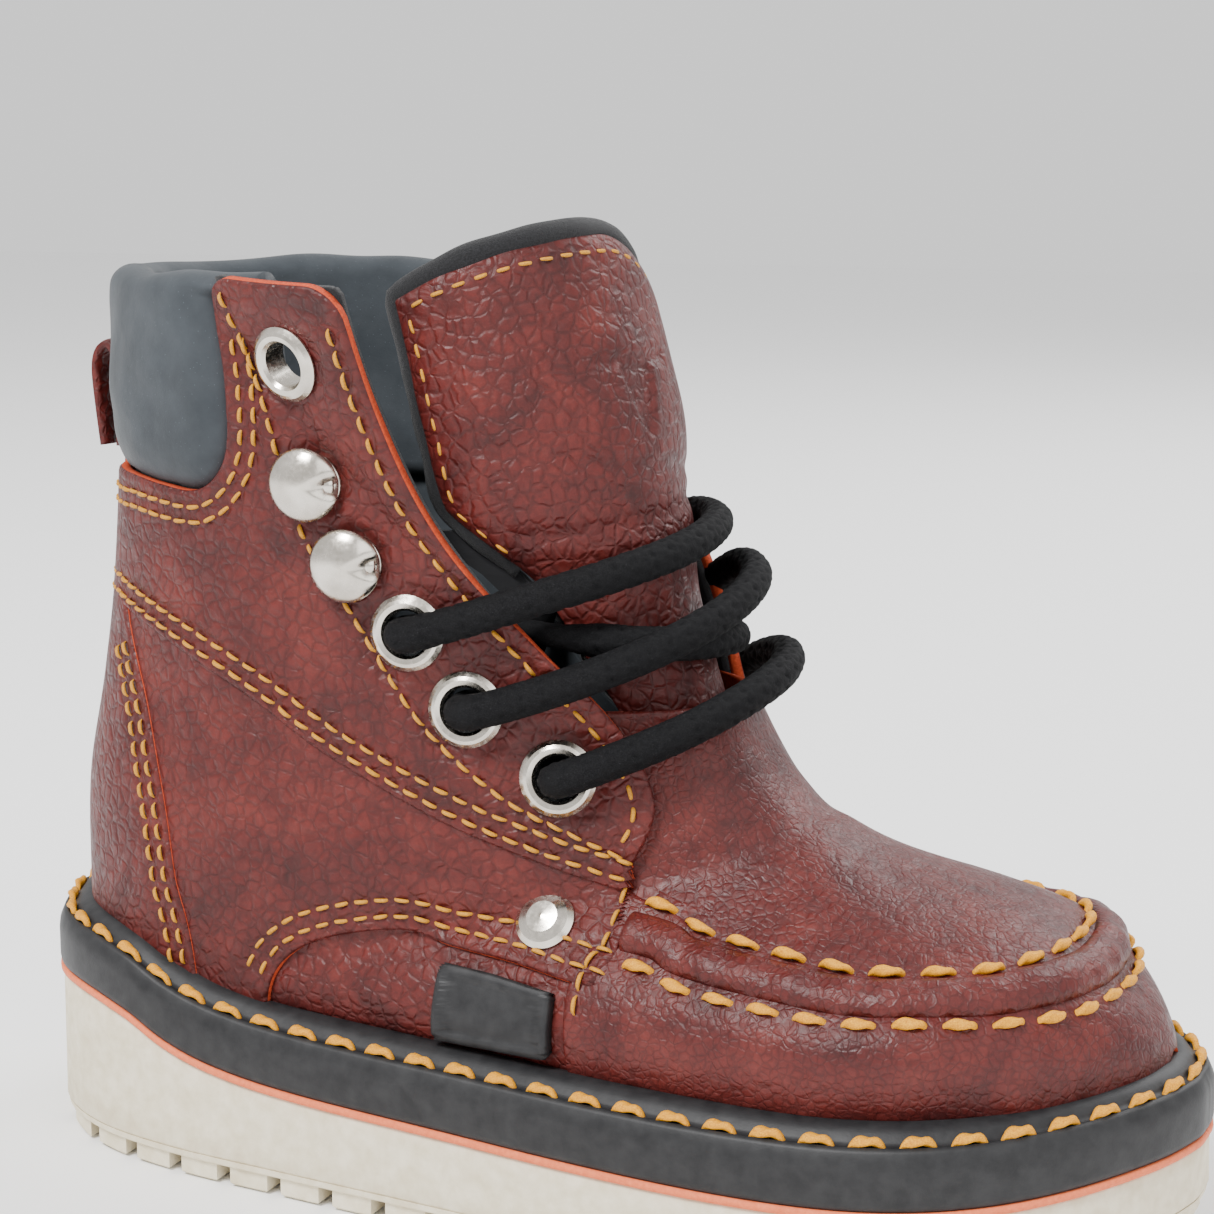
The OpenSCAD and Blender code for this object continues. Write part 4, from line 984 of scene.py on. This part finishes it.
for SIDE in (LATERAL, MEDIAL):
    tag = SIDE_NAME[SIDE]
    upper_rows, lower_rows = seam_rows(SIDE)
    spots = metal_spots(SIDE)
    dents = [(spot, flange, 0.0) for spot, flange, _ in spots]
    holes = [(spot, hole) for spot, _, hole in spots if hole]

    def upper_field(p, side=SIDE):
        crown = rounded(132.6 - p[:, 2], rounded(-beyond_front(p, side), -in_collar(p), 0.3), 5.0)
        return np.minimum.reduce([above_mid(p), crown, on_one_side(p, side, 0.05)])

    quarter = panel(f"quarter_upper_leather_{tag}", upper_field, UPPER_TOP, UPPER_LOW,
                    ["leather", "raw_edge"],
                    [(r, "side") for r in upper_rows.values()], bend=SIDE, dents=dents, holes=holes)
    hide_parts(f"quarter_upper_{tag}", f"flap_{tag}")
    bend_at_fold(quarter)

    def lower_field(p, side=SIDE):
        return np.minimum.reduce([-above_mid(p) + 3.0, -in_patch(p), -in_arch(p), -in_vamp(p),
                                  -beyond_front(p, side) + 1.0, on_one_side(p, side, 0.05),
                                  above_band(p, SUNK)])

    lower = panel(f"quarter_lower_leather_{tag}", lower_field, LOWER_TOP, LOWER_LOW,
                  ["leather", "raw_edge"],
                  [(r, "side") for k, r in lower_rows.items() if k != "patch_1"], dents=dents)
    stand_for(lower, "leather", "boot", f"quarter_lower_{tag}")

    def side_field(p, side=SIDE):
        return np.minimum.reduce([in_arch(p) + 4.0, 18.0 - p[:, 0], p[:, 0] + 45,
                                  on_one_side(p, side, 0.05),
                                  above_band(p, SUNK), -in_vamp(p) + 3.0])

    under = panel(f"side_panel_leather_{tag}", side_field, -0.9, -1.9, ["leather", "raw_edge"])
    stand_for(under, "leather", "boot", f"side_panel_{tag}")

    upper_stitch = stitches(f"stitches_upper_{tag}",
                            [row_on_side(r, SIDE, UPPER_TOP - 0.05, True) for r in upper_rows.values()],
                            *FINE_STITCH)
    bend_at_fold(upper_stitch)
    lower_stitch = stitches(f"stitches_lower_{tag}",
                            [row_on_side(r, SIDE, LOWER_TOP + (0.6 if k.startswith("patch") else -0.05),
                                         False)
                             for k, r in lower_rows.items()],
                            *FINE_STITCH)
    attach(lower_stitch, "boot")


def row_round_heel(z, start_x, off):
    """Level row of stitches from the outer side round the heel to the inner side."""
    p, n = level_line(z, start_x, 240)
    p = p[p[:, 0] < start_x], n[p[:, 0] < start_x]
    return p[0] + p[1] * off, p[1]


heel_rows = [row_round_heel(z, x, UPPER_TOP - 0.05) for z,
             x in ((99.9, -66.0), (97.7, -66.0), (84.2, -69.0), (86.6, -69.0))]
heel_thread = stitches("stitches_heel", heel_rows, *FINE_STITCH)
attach(heel_thread, "boot")


def patch_field(p):
    return np.minimum.reduce([in_patch(p) + 6.0, -above_mid(p) + 3.0, above_band(p, SUNK),
                              -50.0 - p[:, 0]])


patch = panel("heel_patch_leather", patch_field, UPPER_TOP - 0.05, UPPER_LOW, ["leather", "raw_edge"],
              [(offset_line(PATCH_LINE, 1.8)[8:42], "side"),
               (offset_line(PATCH_LINE, 4.2)[8:42], "side")])
stand_for(patch, "leather", "boot", "heel_patch")


def wall_field(p):
    return np.minimum.reduce([in_vamp(p) + 4.0, -in_plug(p) + 0.4 + 100 * (p[:, 2] < 34),
                              above_band(p, SUNK), p[:, 0] - 6])


wall = panel("vamp_wall_leather", wall_field, WALL_TOP, WALL_LOW, ["leather_smooth", "raw_edge"])
stand_for(wall, "leather", "boot", "vamp_wall")


def ahead(p):
    """Positive in front of the facings or within the vamp's outline."""
    front = np.where(p[:, 1] < swing(p[:, 0]), beyond_front(p, LATERAL), beyond_front(p, MEDIAL))
    return np.maximum(front, in_vamp(p))


def plug_field(p):
    return np.minimum.reduce([in_plug(p) + 0.4, 73.0 - p[:, 2], ahead(p) + 6.0, p[:, 2] - 36])


def plug_shape(p):
    return -1.1 * (1 - smoothstep((ahead(p) + 1) / 9))


plug = panel("vamp_plug_leather", plug_field, WALL_TOP, -1.9, ["leather_smooth", "raw_edge"],
             shape=plug_shape)
stand_for(plug, "leather_plug", "boot", "vamp_plug")


# ---------------------------------------------------------------- rolled toe seam

RIDGE_OUT, RIDGE_HALF, RIDGE_HIGH, RIDGE_PITCH = 3.2, 3.1, 2.1, 6.5


def seam_from_above(out):
    """Both sides of the line beside the plug's seam as one line on the form, with its normals."""
    line = PLUG_LINE[(PLUG_LINE[:, 0] > 15.0)]
    way = directions(line)
    line = line + out * np.stack([-way[:, 1], way[:, 0]], 1)
    line[:, 1] = np.maximum(line[:, 1], 0)
    line = line[: int(np.argmax(line[:, 1] <= 0.3)) or len(line)]
    near, near_n = on_top(line, LATERAL)
    far, far_n = on_top(line, MEDIAL)
    return evenly_pair(np.vstack([near, far[::-1]]), np.vstack([near_n, far_n[::-1]]), 0.8)


def evenly_pair(p, n, step):
    both = evenly(np.hstack([p, n * 0.001]), step)
    nor = both[:, 3:]
    return both[:, :3], nor / np.linalg.norm(nor, axis=1, keepdims=True)


def make_ridge():
    p, n = seam_from_above(RIDGE_OUT)
    for _ in range(3):
        n[1:-1] = (n[:-2] + 2 * n[1:-1] + n[2:]) / 4
    n /= np.linalg.norm(n, axis=1, keepdims=True)
    way = directions(p)
    side = np.cross(way, n)
    run = run_along(p)
    sides = 18
    points = []
    for i in range(len(p)):
        pucker = 1 + 0.07 * math.cos(2 * math.pi * run[i] / RIDGE_PITCH)
        a = 2 * math.pi * np.arange(sides) / sides
        points.append(p[i] - 0.5 * n[i] + RIDGE_HALF * np.cos(a)[:, None] * side[i]
                      + RIDGE_HIGH * pucker * np.sin(a)[:, None] * n[i])
    faces = ring_faces(len(p), sides) + end_faces(len(p), sides)
    ridge = make_object("moc_ridge_leather", np.vstack(points), faces, ["leather_smooth"])
    stand_for(ridge, "leather", "boot", "moc_ridge")
    rows = [seam_from_above(-0.2), seam_from_above(RIDGE_OUT + RIDGE_HALF + 0.3)]
    thread = stitches("moc_thread", rows, "thick_thread", 5.2, 1.3, 1.35, twist=0.22, lift=0.45, sides=12,
                      rings=13)
    stand_for(thread, "thick_thread", "boot", "moc_stitching")


make_ridge()


# ---------------------------------------------------------------- sole


def sole_line(inset):
    half = smooth_line(SOLE_EDGE, 12)
    way = np.gradient(half, axis=0)
    way[0], way[-1] = [0, 1], [0, -1]
    way /= np.linalg.norm(way, axis=1, keepdims=True)
    half = half + inset * np.stack([way[:, 1], -way[:, 0]], 1)
    half[:, 1] = np.maximum(half[:, 1], 0)
    near = np.stack([half[:, 0], -half[:, 1] + swing(half[:, 0])], 1)
    far = np.stack([half[-2:0:-1, 0], half[-2:0:-1, 1] + swing(half[-2:0:-1, 0])], 1)
    return np.vstack([near, far])


def sole_ring(inset, line, lift):
    flat = sole_line(inset)
    z = np.interp(flat[:, 0], line[:, 0], line[:, 1]) + lift
    return np.column_stack([flat, z])


BAND = smooth_line(BAND_TOP)
BAND_FOOT = BAND - [0, RAND_H + STRIPE_H]


def loft(name, rings, materials, node, slot_name):
    n, m = len(rings), len(rings[0])
    faces = ring_faces(n, m) + bridge_faces(m, 0, True) + bridge_faces(m, (n - 1) * m, False)
    obj = make_object(name, np.vstack(rings), faces, materials)
    stand_for(obj, slot_name, "boot", node)
    return obj


def make_sole():
    loft("rand_rubber", [sole_ring(i, BAND, z) for i, z in (
        (0.6, -RAND_H), (0.15, -RAND_H + 0.4), (0, -RAND_H + 1.2), (0, -5.2), (0.15, -4.0), (0.7, -2.7),
        (1.2, -2.0),
        (1.5, -2.15), (2.2, -2.25), (2.7, -1.75), (3.3, -0.9), (4.4, -0.3), (5.6, 0), (7.2, -0.2),
        (9.0, -1.6))],
        ["rubber_black"], "rand", "rubber_black")
    loft("stripe_rubber", [sole_ring(i, BAND_FOOT, z) for i, z in (
        (0.35, 0.0), (0.05, 0.2), (0, 0.6), (0.05, 1.0),
        (0.35, STRIPE_H))], ["stripe"], "stripe", "sole_stripe")
    middle = [sole_ring(0.7, GROUND, TREAD_H), sole_ring(0.3, GROUND, TREAD_H + 0.5)]
    low, high = sole_ring(0.3, GROUND, TREAD_H + 0.5), sole_ring(0.5, BAND_FOOT, -0.4)
    for share in (0.33, 0.66, 1.0):
        middle.append(low + (high - low) * share)
    middle.append(sole_ring(0.8, BAND_FOOT, 0.0))
    loft("midsole_foam", middle, ["sole_cream"], "midsole", "sole_cream")
    tread_top = sole_ring(0.5, GROUND, TREAD_H)
    parts, faces = [], []
    groove = 2.4
    starts = np.arange(-90.0 + 0.6, 90, BAR_PITCH)
    for x0 in starts:
        x1 = x0 + BAR_PITCH - groove
        xs = np.linspace(max(x0, -89.4), min(x1, 89.2), 9)
        if xs[-1] - xs[0] < 1.5:
            continue
        edge = sole_line(1.3)
        order = edge[: len(edge) // 2 + 1]
        y_near = np.interp(xs, order[:, 0], order[:, 1] - swing(order[:, 0]))
        rows = [(0.0, 0.35), (0.35, 0.0), (3.0, 0.0)]
        base = sum(len(p) for p in parts)
        for z, inset in rows:
            half = np.minimum(y_near + inset, -0.3)
            squeeze = 1 - 2 * inset / (xs[-1] - xs[0])
            px = xs.mean() + (xs - xs.mean()) * squeeze
            sw = swing(px)
            ground = np.interp(px, GROUND[:, 0], GROUND[:, 1])
            ring = np.vstack([np.column_stack([px, half + sw, ground + z]),
                              np.column_stack([px[::-1], -half[::-1] + sw[::-1], ground[::-1] + z])])
            parts.append(ring)
        m = 2 * len(xs)
        faces += ring_faces(len(rows), m, base) + end_faces(len(rows), m, base)
    base = sum(len(p) for p in parts)
    slab = [sole_ring(0.9, GROUND, 2.9), sole_ring(0.6, GROUND, 3.2), tread_top]
    m = len(tread_top)
    parts += slab
    faces += ring_faces(len(slab), m, base) + bridge_faces(m, base, True) + bridge_faces(m, base + 2 * m,
                                                                                         False)
    tread = make_object("tread_sole", np.vstack(parts), faces, ["sole_cream"], smooth=False)
    stand_for(tread, "sole_cream", "boot", "outsole")
    ring = sole_ring(1.9, BAND, -1.75)
    ring = np.vstack([ring, ring[:1]])
    line = evenly(ring, 0.8)
    thread = stitches("rand_thread", [(line, np.tile([0.0, 0, 1], (len(line), 1)))], "thick_thread", 5.2,
                      1.3, 1.4,
                      twist=0.22, lift=0.35, sides=12, rings=13)
    stand_for(thread, "thick_thread", "boot", "rand_stitching")


make_sole()


# ---------------------------------------------------------------- collar and lining


def make_collar():
    """Padded collar: a roll over the rim whose outer face swells only within the leather's U-shaped cut."""
    low, high, front = 98.5, 132.6, -37.5
    count = 220
    roll = 3.0
    rings = []

    def ring(z, depth, swell):
        p, n = level_line(min(z, 132.4), front, count)
        n[:, 2] = 0
        n /= np.linalg.norm(n, axis=1, keepdims=True)
        within = np.clip(in_collar(p) / 7.0, 0, 1) if swell else 1.0
        rise = np.sqrt(within * (2 - within)) if swell else 1.0
        soft = ripple(p, 19, 0.30, 11) + ripple(p, 8, 0.10, 12)
        off = depth + (swell * rise if swell else 0.0) + soft * (0.3 + 0.7 * rise)
        out = p + n * (off + np.zeros(count))[:, None]
        out[:, 2] = z + 0.5 * ripple(p * [1, 1, 0], 24, 0.9, 13) * smoothstep((z - 118) / 14)
        return out

    for share in np.linspace(0, 1, 40):
        z = low + (high - roll - low) * share
        rings.append(ring(z, -1.5, 2.7 + 0.5 * math.sin(math.pi * share)))
    for a in np.linspace(0, math.pi, 15)[1:]:
        rings.append(ring(high - roll + roll * math.sin(a), -2.2 + 3.4 * math.cos(a), 0.0))
    for share in np.linspace(0, 1, 16)[1:]:
        rings.append(ring(high - roll - (high - roll - low) * share,
                          -5.6 - 0.9 * math.sin(math.pi * share), 0.0))
    n, m = len(rings), count
    points = np.vstack(rings)
    i, j = np.meshgrid(np.arange(n), np.arange(m - 1), indexing="ij")
    a, b = (i * m + j).ravel(), (i * m + j + 1).ravel()
    c, d = (((i + 1) % n) * m + j).ravel(), (((i + 1) % n) * m + j + 1).ravel()
    faces = np.stack([a, c, d, b], 1).tolist()
    faces.append([k * m for k in range(n)][::-1])
    faces.append([k * m + m - 1 for k in range(n)])
    collar = make_object("collar_padding", points, faces, ["collar_fabric"])
    stand_for(collar, "collar_fabric", "boot", "collar_pad")


make_collar()


def lining_field(p):
    loop = np.array([[-95, 20], [-95, 112], [-45, 112], [-41, 122], [-36, 108], [-29, 92], [-20, 78],
                     [-9, 66], [4, 57],
                     [12, 52], [20, 56], [34, 62], [92, 62], [92, 20]], float)
    return area_field(side_view(p), np.vstack([loop, loop[:1]]), loop)


lining = panel("shaft_lining", lining_field, -3.1, -4.0, ["collar_fabric"], edge_drop=0.1, crease=0.25)
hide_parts("quarter_lining_lateral", "quarter_lining_medial", "vamp_lining",
            "interlining_lateral",
            "interlining_medial")
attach(lining, "boot")

for SIDE in (LATERAL, MEDIAL):
    tag = SIDE_NAME[SIDE]

    def facing_field(p, side=SIDE):
        back = area_field(side_view(p), BACK_STITCH,
                          loop_of(BACK_STITCH, [40, 53], [40, 150], [-41.7, 150]))
        return np.minimum.reduce([back + 3.0, -beyond_front(p, side) - 0.5, on_one_side(p, side, 0.05),
                                  132.0 - p[:, 2]])

    backing = panel(f"facing_felt_{tag}", facing_field, UPPER_LOW - 0.05, UPPER_LOW - 1.3, ["felt"],
                    bend=SIDE,
                    edge_drop=0.1, crease=0.05,
                    holes=[(spot, hole) for spot, _, hole in metal_spots(SIDE) if hole])
    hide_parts(f"flap_backing_{tag}")
    bend_at_fold(backing)


# ---------------------------------------------------------------- tongue

TONGUE_T = 3.2
TONGUE_TOP, CORNER_DROP, TONGUE_ARC, TONGUE_LEAN = 138.0, 9.0, 98.0, 12.0
INNER_DROP = 19.0
EMBLEM_TURN = 0.12


def tongue_arc(z):
    return np.minimum(TONGUE_ARC, 80 + np.maximum(0, z - 90) * 1.8)


def tongue_point(share, z, d):
    """Point of the tongue at share -1 (outer edge) to 1 (inner edge) and height z, set in by d."""
    s = spline(TONGUE[:, 1:], (np.asarray(z) - 70) / 10)
    f = np.radians(share * tongue_arc(z))
    return np.stack([s[..., 0] + (s[..., 1] - d) * np.cos(f), (s[..., 1] - d) * np.sin(f), z + 0 * f], -1)


def tongue_top(share):
    """Height of the tongue's top edge: a round crown that falls away faster to the inner side."""
    turn = np.asarray(share) * TONGUE_ARC + TONGUE_LEAN
    outer = CORNER_DROP * np.abs(np.minimum(turn, 0) / (TONGUE_ARC - TONGUE_LEAN)) ** 2.0
    inner = INNER_DROP * smoothstep(np.maximum(turn, 0) / 92.0)
    return TONGUE_TOP - outer - inner


def emblem(share, z):
    """Depth of the pressed mark on the tongue: a plain shield with a bar across it."""
    x, y = (share + EMBLEM_TURN) * 40.0, z - 117.0
    bar_ = np.exp(-(((y - 3.4) / 1.0) ** 2)) * smoothstep((9.5 - np.abs(x)) / 2)
    half = 4.2 * np.sqrt(np.clip((y + 7.5) / 10.5, 0, 1))
    shield = smoothstep((half - np.abs(x)) / 0.9) * smoothstep((3.0 - y) / 0.8) * smoothstep((y + 7.5) / 0.8)
    return bar_ * 0.6 + shield * 0.7


def bend_at_tongue_fold(piece):
    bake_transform(piece)


def make_tongue():
    across, up = 180, 150
    shares = np.linspace(-1, 1, across)
    rows_out, rows_in = [], []
    for k in range(up):
        h = k / (up - 1)
        z = 67.0 + (tongue_top(shares) - 67.0) * h
        edge = np.minimum(np.clip((1 - np.abs(shares)) / 0.10, 0, 1), np.clip((1 - h) / 0.06, 0, 1))
        puff = 1.5 * np.sqrt(np.clip(edge, 0, 1) * (2 - np.clip(edge, 0, 1))) * smoothstep((z - 84) / 16)
        deep_fold = 0.5 * np.exp(-(((z - 99 - 3 * shares) / 1.6) ** 2))
        light_fold = 0.35 * np.exp(-(((z - 105 + 5 * shares) / 1.3) ** 2))
        fold = -deep_fold - light_fold
        base = tongue_point(shares, z, 0.0)
        rise = puff + fold * (np.abs(shares) < 0.8) - emblem(shares, z) + ripple(base, 22, 0.22, 5)
        rows_out.append(tongue_point(shares, z, 0.4 - rise))
        rows_in.append(tongue_point(shares, z, TONGUE_T + 0.2 + 0.6 * puff))
    outer, inner = np.array(rows_out).reshape(-1, 3), np.array(rows_in).reshape(-1, 3)
    count = len(outer)
    faces = grid_faces(up, across, False)
    edge = boundary(faces)
    rim = np.stack([edge[:, 1], edge[:, 0], edge[:, 0] + count, edge[:, 1] + count], 1)
    all_faces = faces[:, ::-1].tolist() + (faces + count).tolist() + rim[:, ::-1].tolist()
    kinds = [0] * len(faces) + [1] * (len(faces) + len(rim))
    body = make_object("tongue_padding", np.vstack([outer, inner]), all_faces, ["leather", "felt"], kinds)
    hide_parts("tongue_lower", "tongue_upper", "tongue_badge")
    bend_at_tongue_fold(body)

    # felt binding round the two long edges and the top
    edge_z = np.linspace(92, float(tongue_top(np.array(-1.0))), 50)
    left = tongue_point(-1.0 + 0 * edge_z, edge_z, 1.6)
    top_shares = np.linspace(-1, 1, 120)[1:-1]
    top = tongue_point(top_shares, tongue_top(top_shares), 1.6)
    right_z = np.linspace(float(tongue_top(np.array(1.0))), 92, 50)
    right = tongue_point(1.0 + 0 * right_z, right_z, 1.6)
    line = evenly(np.vstack([left, top, right]), 0.8)
    binding = tube("tongue_binding", line, 2.1 + ripple(line, 9, 0.12, 8), "felt", 14)
    bend_at_tongue_fold(binding)

    # a row of stitches inside the binding
    rows = []
    for line_shares, line_z in ((np.full(40, -0.93),
                                 np.linspace(94, float(tongue_top(np.array(-1.0))) - 2.0, 40)),
                                (np.linspace(-0.93, 0.93, 120),
                                 tongue_top(np.linspace(-0.93, 0.93, 120)) - 2.6),
                                (np.full(40, 0.93),
                                 np.linspace(float(tongue_top(np.array(1.0))) - 2.0, 94, 40))):
        p = tongue_point(line_shares, line_z, -0.9)
        n = p - tongue_point(line_shares, line_z, 1.0)
        rows.append((p, n / np.linalg.norm(n, axis=1, keepdims=True)))
    thread = stitches("tongue_thread", rows, "gold_thread", 2.3, 0.9, 0.55)
    bend_at_tongue_fold(thread)


make_tongue()


# ---------------------------------------------------------------- heel loop, badge, metal


def make_heel_loop():
    width = 12.0
    x0 = -78.6
    path = smooth_line(np.array([[x0 - 0.9, 104.3], [x0 - 0.9, 110], [x0 - 1.0, 116], [x0 - 1.7, 118.9],
                                 [x0 - 3.0, 119.9],
                                 [x0 - 4.5, 118.7], [x0 - 5.1, 115.8], [x0 - 4.6, 110],
                                 [x0 - 3.9, 104.3]], float), 8)
    path = evenly(path, 0.5)
    way = directions(path)
    normal = np.stack([-way[:, 1], way[:, 0]], 1)
    thick = 1.6
    across = np.linspace(-1, 1, 13)
    section = []
    for s in across:
        section.append((s * width / 2, thick / 2 * (1 - abs(s) ** 8 * 0.5)))
    for s in across[::-1]:
        section.append((s * width / 2, -thick / 2 * (1 - abs(s) ** 8 * 0.5)))
    points = []
    for (x, z), (nx, nz) in zip(path, normal):
        for y, h in section:
            points.append([x + nx * h, y, z + nz * h])
    m = len(section)
    faces = ring_faces(len(path), m) + end_faces(len(path), m)
    loop = make_object("heel_loop_leather", points, faces, ["leather"])
    stand_for(loop, "leather", "heel_loop", "pull_loop")


make_heel_loop()


def tab_field(p):
    return np.minimum.reduce([6.0 - np.abs(p[:, 1]), p[:, 2] - 98.5, 103.4 - p[:, 2], -60 - p[:, 0]])


tab = panel("heel_loop_tab", tab_field, 2.2, 0.95, ["leather", "raw_edge"], edge_drop=0.3)
stand_for(tab, "leather", "boot", "loop_anchor")


def badge_field(p):
    loop = np.array([[-11.2, 27], [-10.7, 37.4], [-2, 37], [7.5, 36], [7.5, 27]], float)
    return np.minimum(area_field(side_view(p), np.vstack([loop, loop[:1]]), loop),
                      on_one_side(p, LATERAL, 1))


def badge_shape(p):
    return -0.5 * smoothstep((badge_field(p) - 1.2) / 0.5)


badge = panel("side_badge_rubber", badge_field, 1.1, -0.8, ["rubber_black"], shape=badge_shape,
              crease=0.0)
stand_for(badge, "rubber_black", "boot", "side_badge")


def frame_at(spot, side):
    """Origin and axes on the skin at a metal part: to the front, across and outward."""
    p, n = form_point(spot[0], spot[1] if side == LATERAL else 2 - spot[1])
    ahead_ = form_point(spot[0], (spot[1] if side == LATERAL else 2 - spot[1]) + 0.01 * -side)[0] - p
    ahead_ -= (ahead_ @ n) * n
    ahead_ /= np.linalg.norm(ahead_)
    return p, ahead_, np.cross(n, ahead_), n


def revolved(profile, count):
    angle = 2 * math.pi * np.arange(count) / count
    points = np.array([[r * math.cos(a), r * math.sin(a), z] for r, z in profile for a in angle])
    return points, ring_faces(len(profile), count)


def make_hooks():
    points, faces = [], []

    def add(local, new_faces, frame_):
        p, x, y, n = frame_
        base = sum(len(q) for q in points)
        points.append(p + local[:, :1] * x + local[:, 1:2] * y + local[:, 2:] * n)
        faces.extend([[base + i for i in f] for f in new_faces])

    for side in (LATERAL, MEDIAL):
        for spot in HOOKS:
            frame_ = frame_at(spot, side)
            plate, plate_faces = revolved([(0.01, -0.2), (3.9, -0.2), (4.1, 0.1), (4.0, 0.45),
                                           (3.2, 0.75), (1.2, 0.8),
                                           (1.0, 0.3), (0.01, 0.25)], 40)
            add(plate, plate_faces, frame_)
            outer = [(0.01, 4.75), (1.2, 4.7), (2.6, 4.35), (3.8, 3.85), (4.7, 3.25), (5.15, 2.8),
                     (5.2, 2.55),
                     (5.05, 2.4), (4.6, 2.6), (3.7, 3.15), (2.5, 3.6), (1.2, 3.9), (0.01, 3.95)]
            disc, disc_faces = revolved(outer, 56)
            # the front of the disc is pinched into two folds that run down to the plate
            front = smoothstep((disc[:, 0] - 1.6) / 3.0)
            pinch = np.exp(-((disc[:, 1] / 1.25) ** 2))
            disc[:, 2] -= front * (0.55 + 1.5 * pinch) * smoothstep((disc[:, 0] - 1.2) / 2.6)
            disc[:, 0] -= 0.7 * front * pinch
            disc[:, 0] -= 0.6
            add(disc, disc_faces, frame_)
            steps = 14
            neck, neck_faces = [], []
            for i in range(steps):
                a = i / (steps - 1)
                x = 1.4 + 1.9 * math.sin(math.pi * a)
                z = 0.4 + 2.4 * a
                for y in (-1.6, 1.6):
                    for t in (-0.35, 0.35):
                        neck.append([x + t, y, z])
            for i in range(steps - 1):
                b = 4 * i
                for u, v in ((0, 1), (1, 3), (3, 2), (2, 0)):
                    neck_faces.append([b + u, b + v, b + 4 + v, b + 4 + u])
            neck_faces += [[0, 1, 3, 2], [4 * steps - 4, 4 * steps - 2, 4 * steps - 1, 4 * steps - 3]]
            add(np.array(neck), neck_faces, frame_)
    hooks = make_object("speed_hook_metal", np.vstack(points), faces, ["nickel"])
    stand_for(hooks, "nickel", "boot", "speed_hooks")


make_hooks()

CAD_LOOKS = {
    "nickel": ["lower_eyelets", "eyelet_washers", "rivet_caps", "rivet_burrs", "top_eyelet_lateral",
               "top_eyelet_medial"],
    "steel": ["toe_cap", "shank"],
    "board": ["insole_board", "heel_stiffener"],
    "felt": ["footbed", "gusset_lateral", "gusset_medial"],
}
for look, names in CAD_LOOKS.items():
    for name in names:
        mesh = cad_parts[name].data
        mesh.materials.clear()
        mesh.materials.append(MATERIALS[look])


# ---------------------------------------------------------------- floor and light


def make_stage():
    bpy.ops.mesh.primitive_plane_add(size=6, location=(0, 0, -0.0003))
    floor = bpy.context.object
    floor.name = "floor"
    mat = bpy.data.materials.new("floor")
    mat.use_nodes = True
    shader = mat.node_tree.nodes["Principled BSDF"]
    shader.inputs["Base Color"].default_value = (0.95, 0.95, 0.95, 1)
    shader.inputs["Roughness"].default_value = 0.9
    floor.data.materials.append(mat)
    world = bpy.data.worlds.new("studio")
    bpy.context.scene.world = world
    world.use_nodes = True
    world.node_tree.nodes["Background"].inputs["Color"].default_value = (1, 1, 1, 1)
    world.node_tree.nodes["Background"].inputs["Strength"].default_value = 1.05
    for name, place_, size, power in (("key", (-0.25, -0.8, 1.1), 0.35, 26),
                                      ("fill", (0.9, -0.5, 0.6), 0.8, 4),
                                      ("back", (0.4, 0.9, 0.9), 0.8, 12)):
        data = bpy.data.lights.new(name, "AREA")
        data.size = size
        data.energy = power
        lamp = bpy.data.objects.new(name, data)
        bpy.context.scene.collection.objects.link(lamp)
        lamp.location = place_
        lamp.rotation_euler = (Vector((0, 0, 0.07)) - Vector(place_)).to_track_quat("-Z", "Y").to_euler()


make_stage()
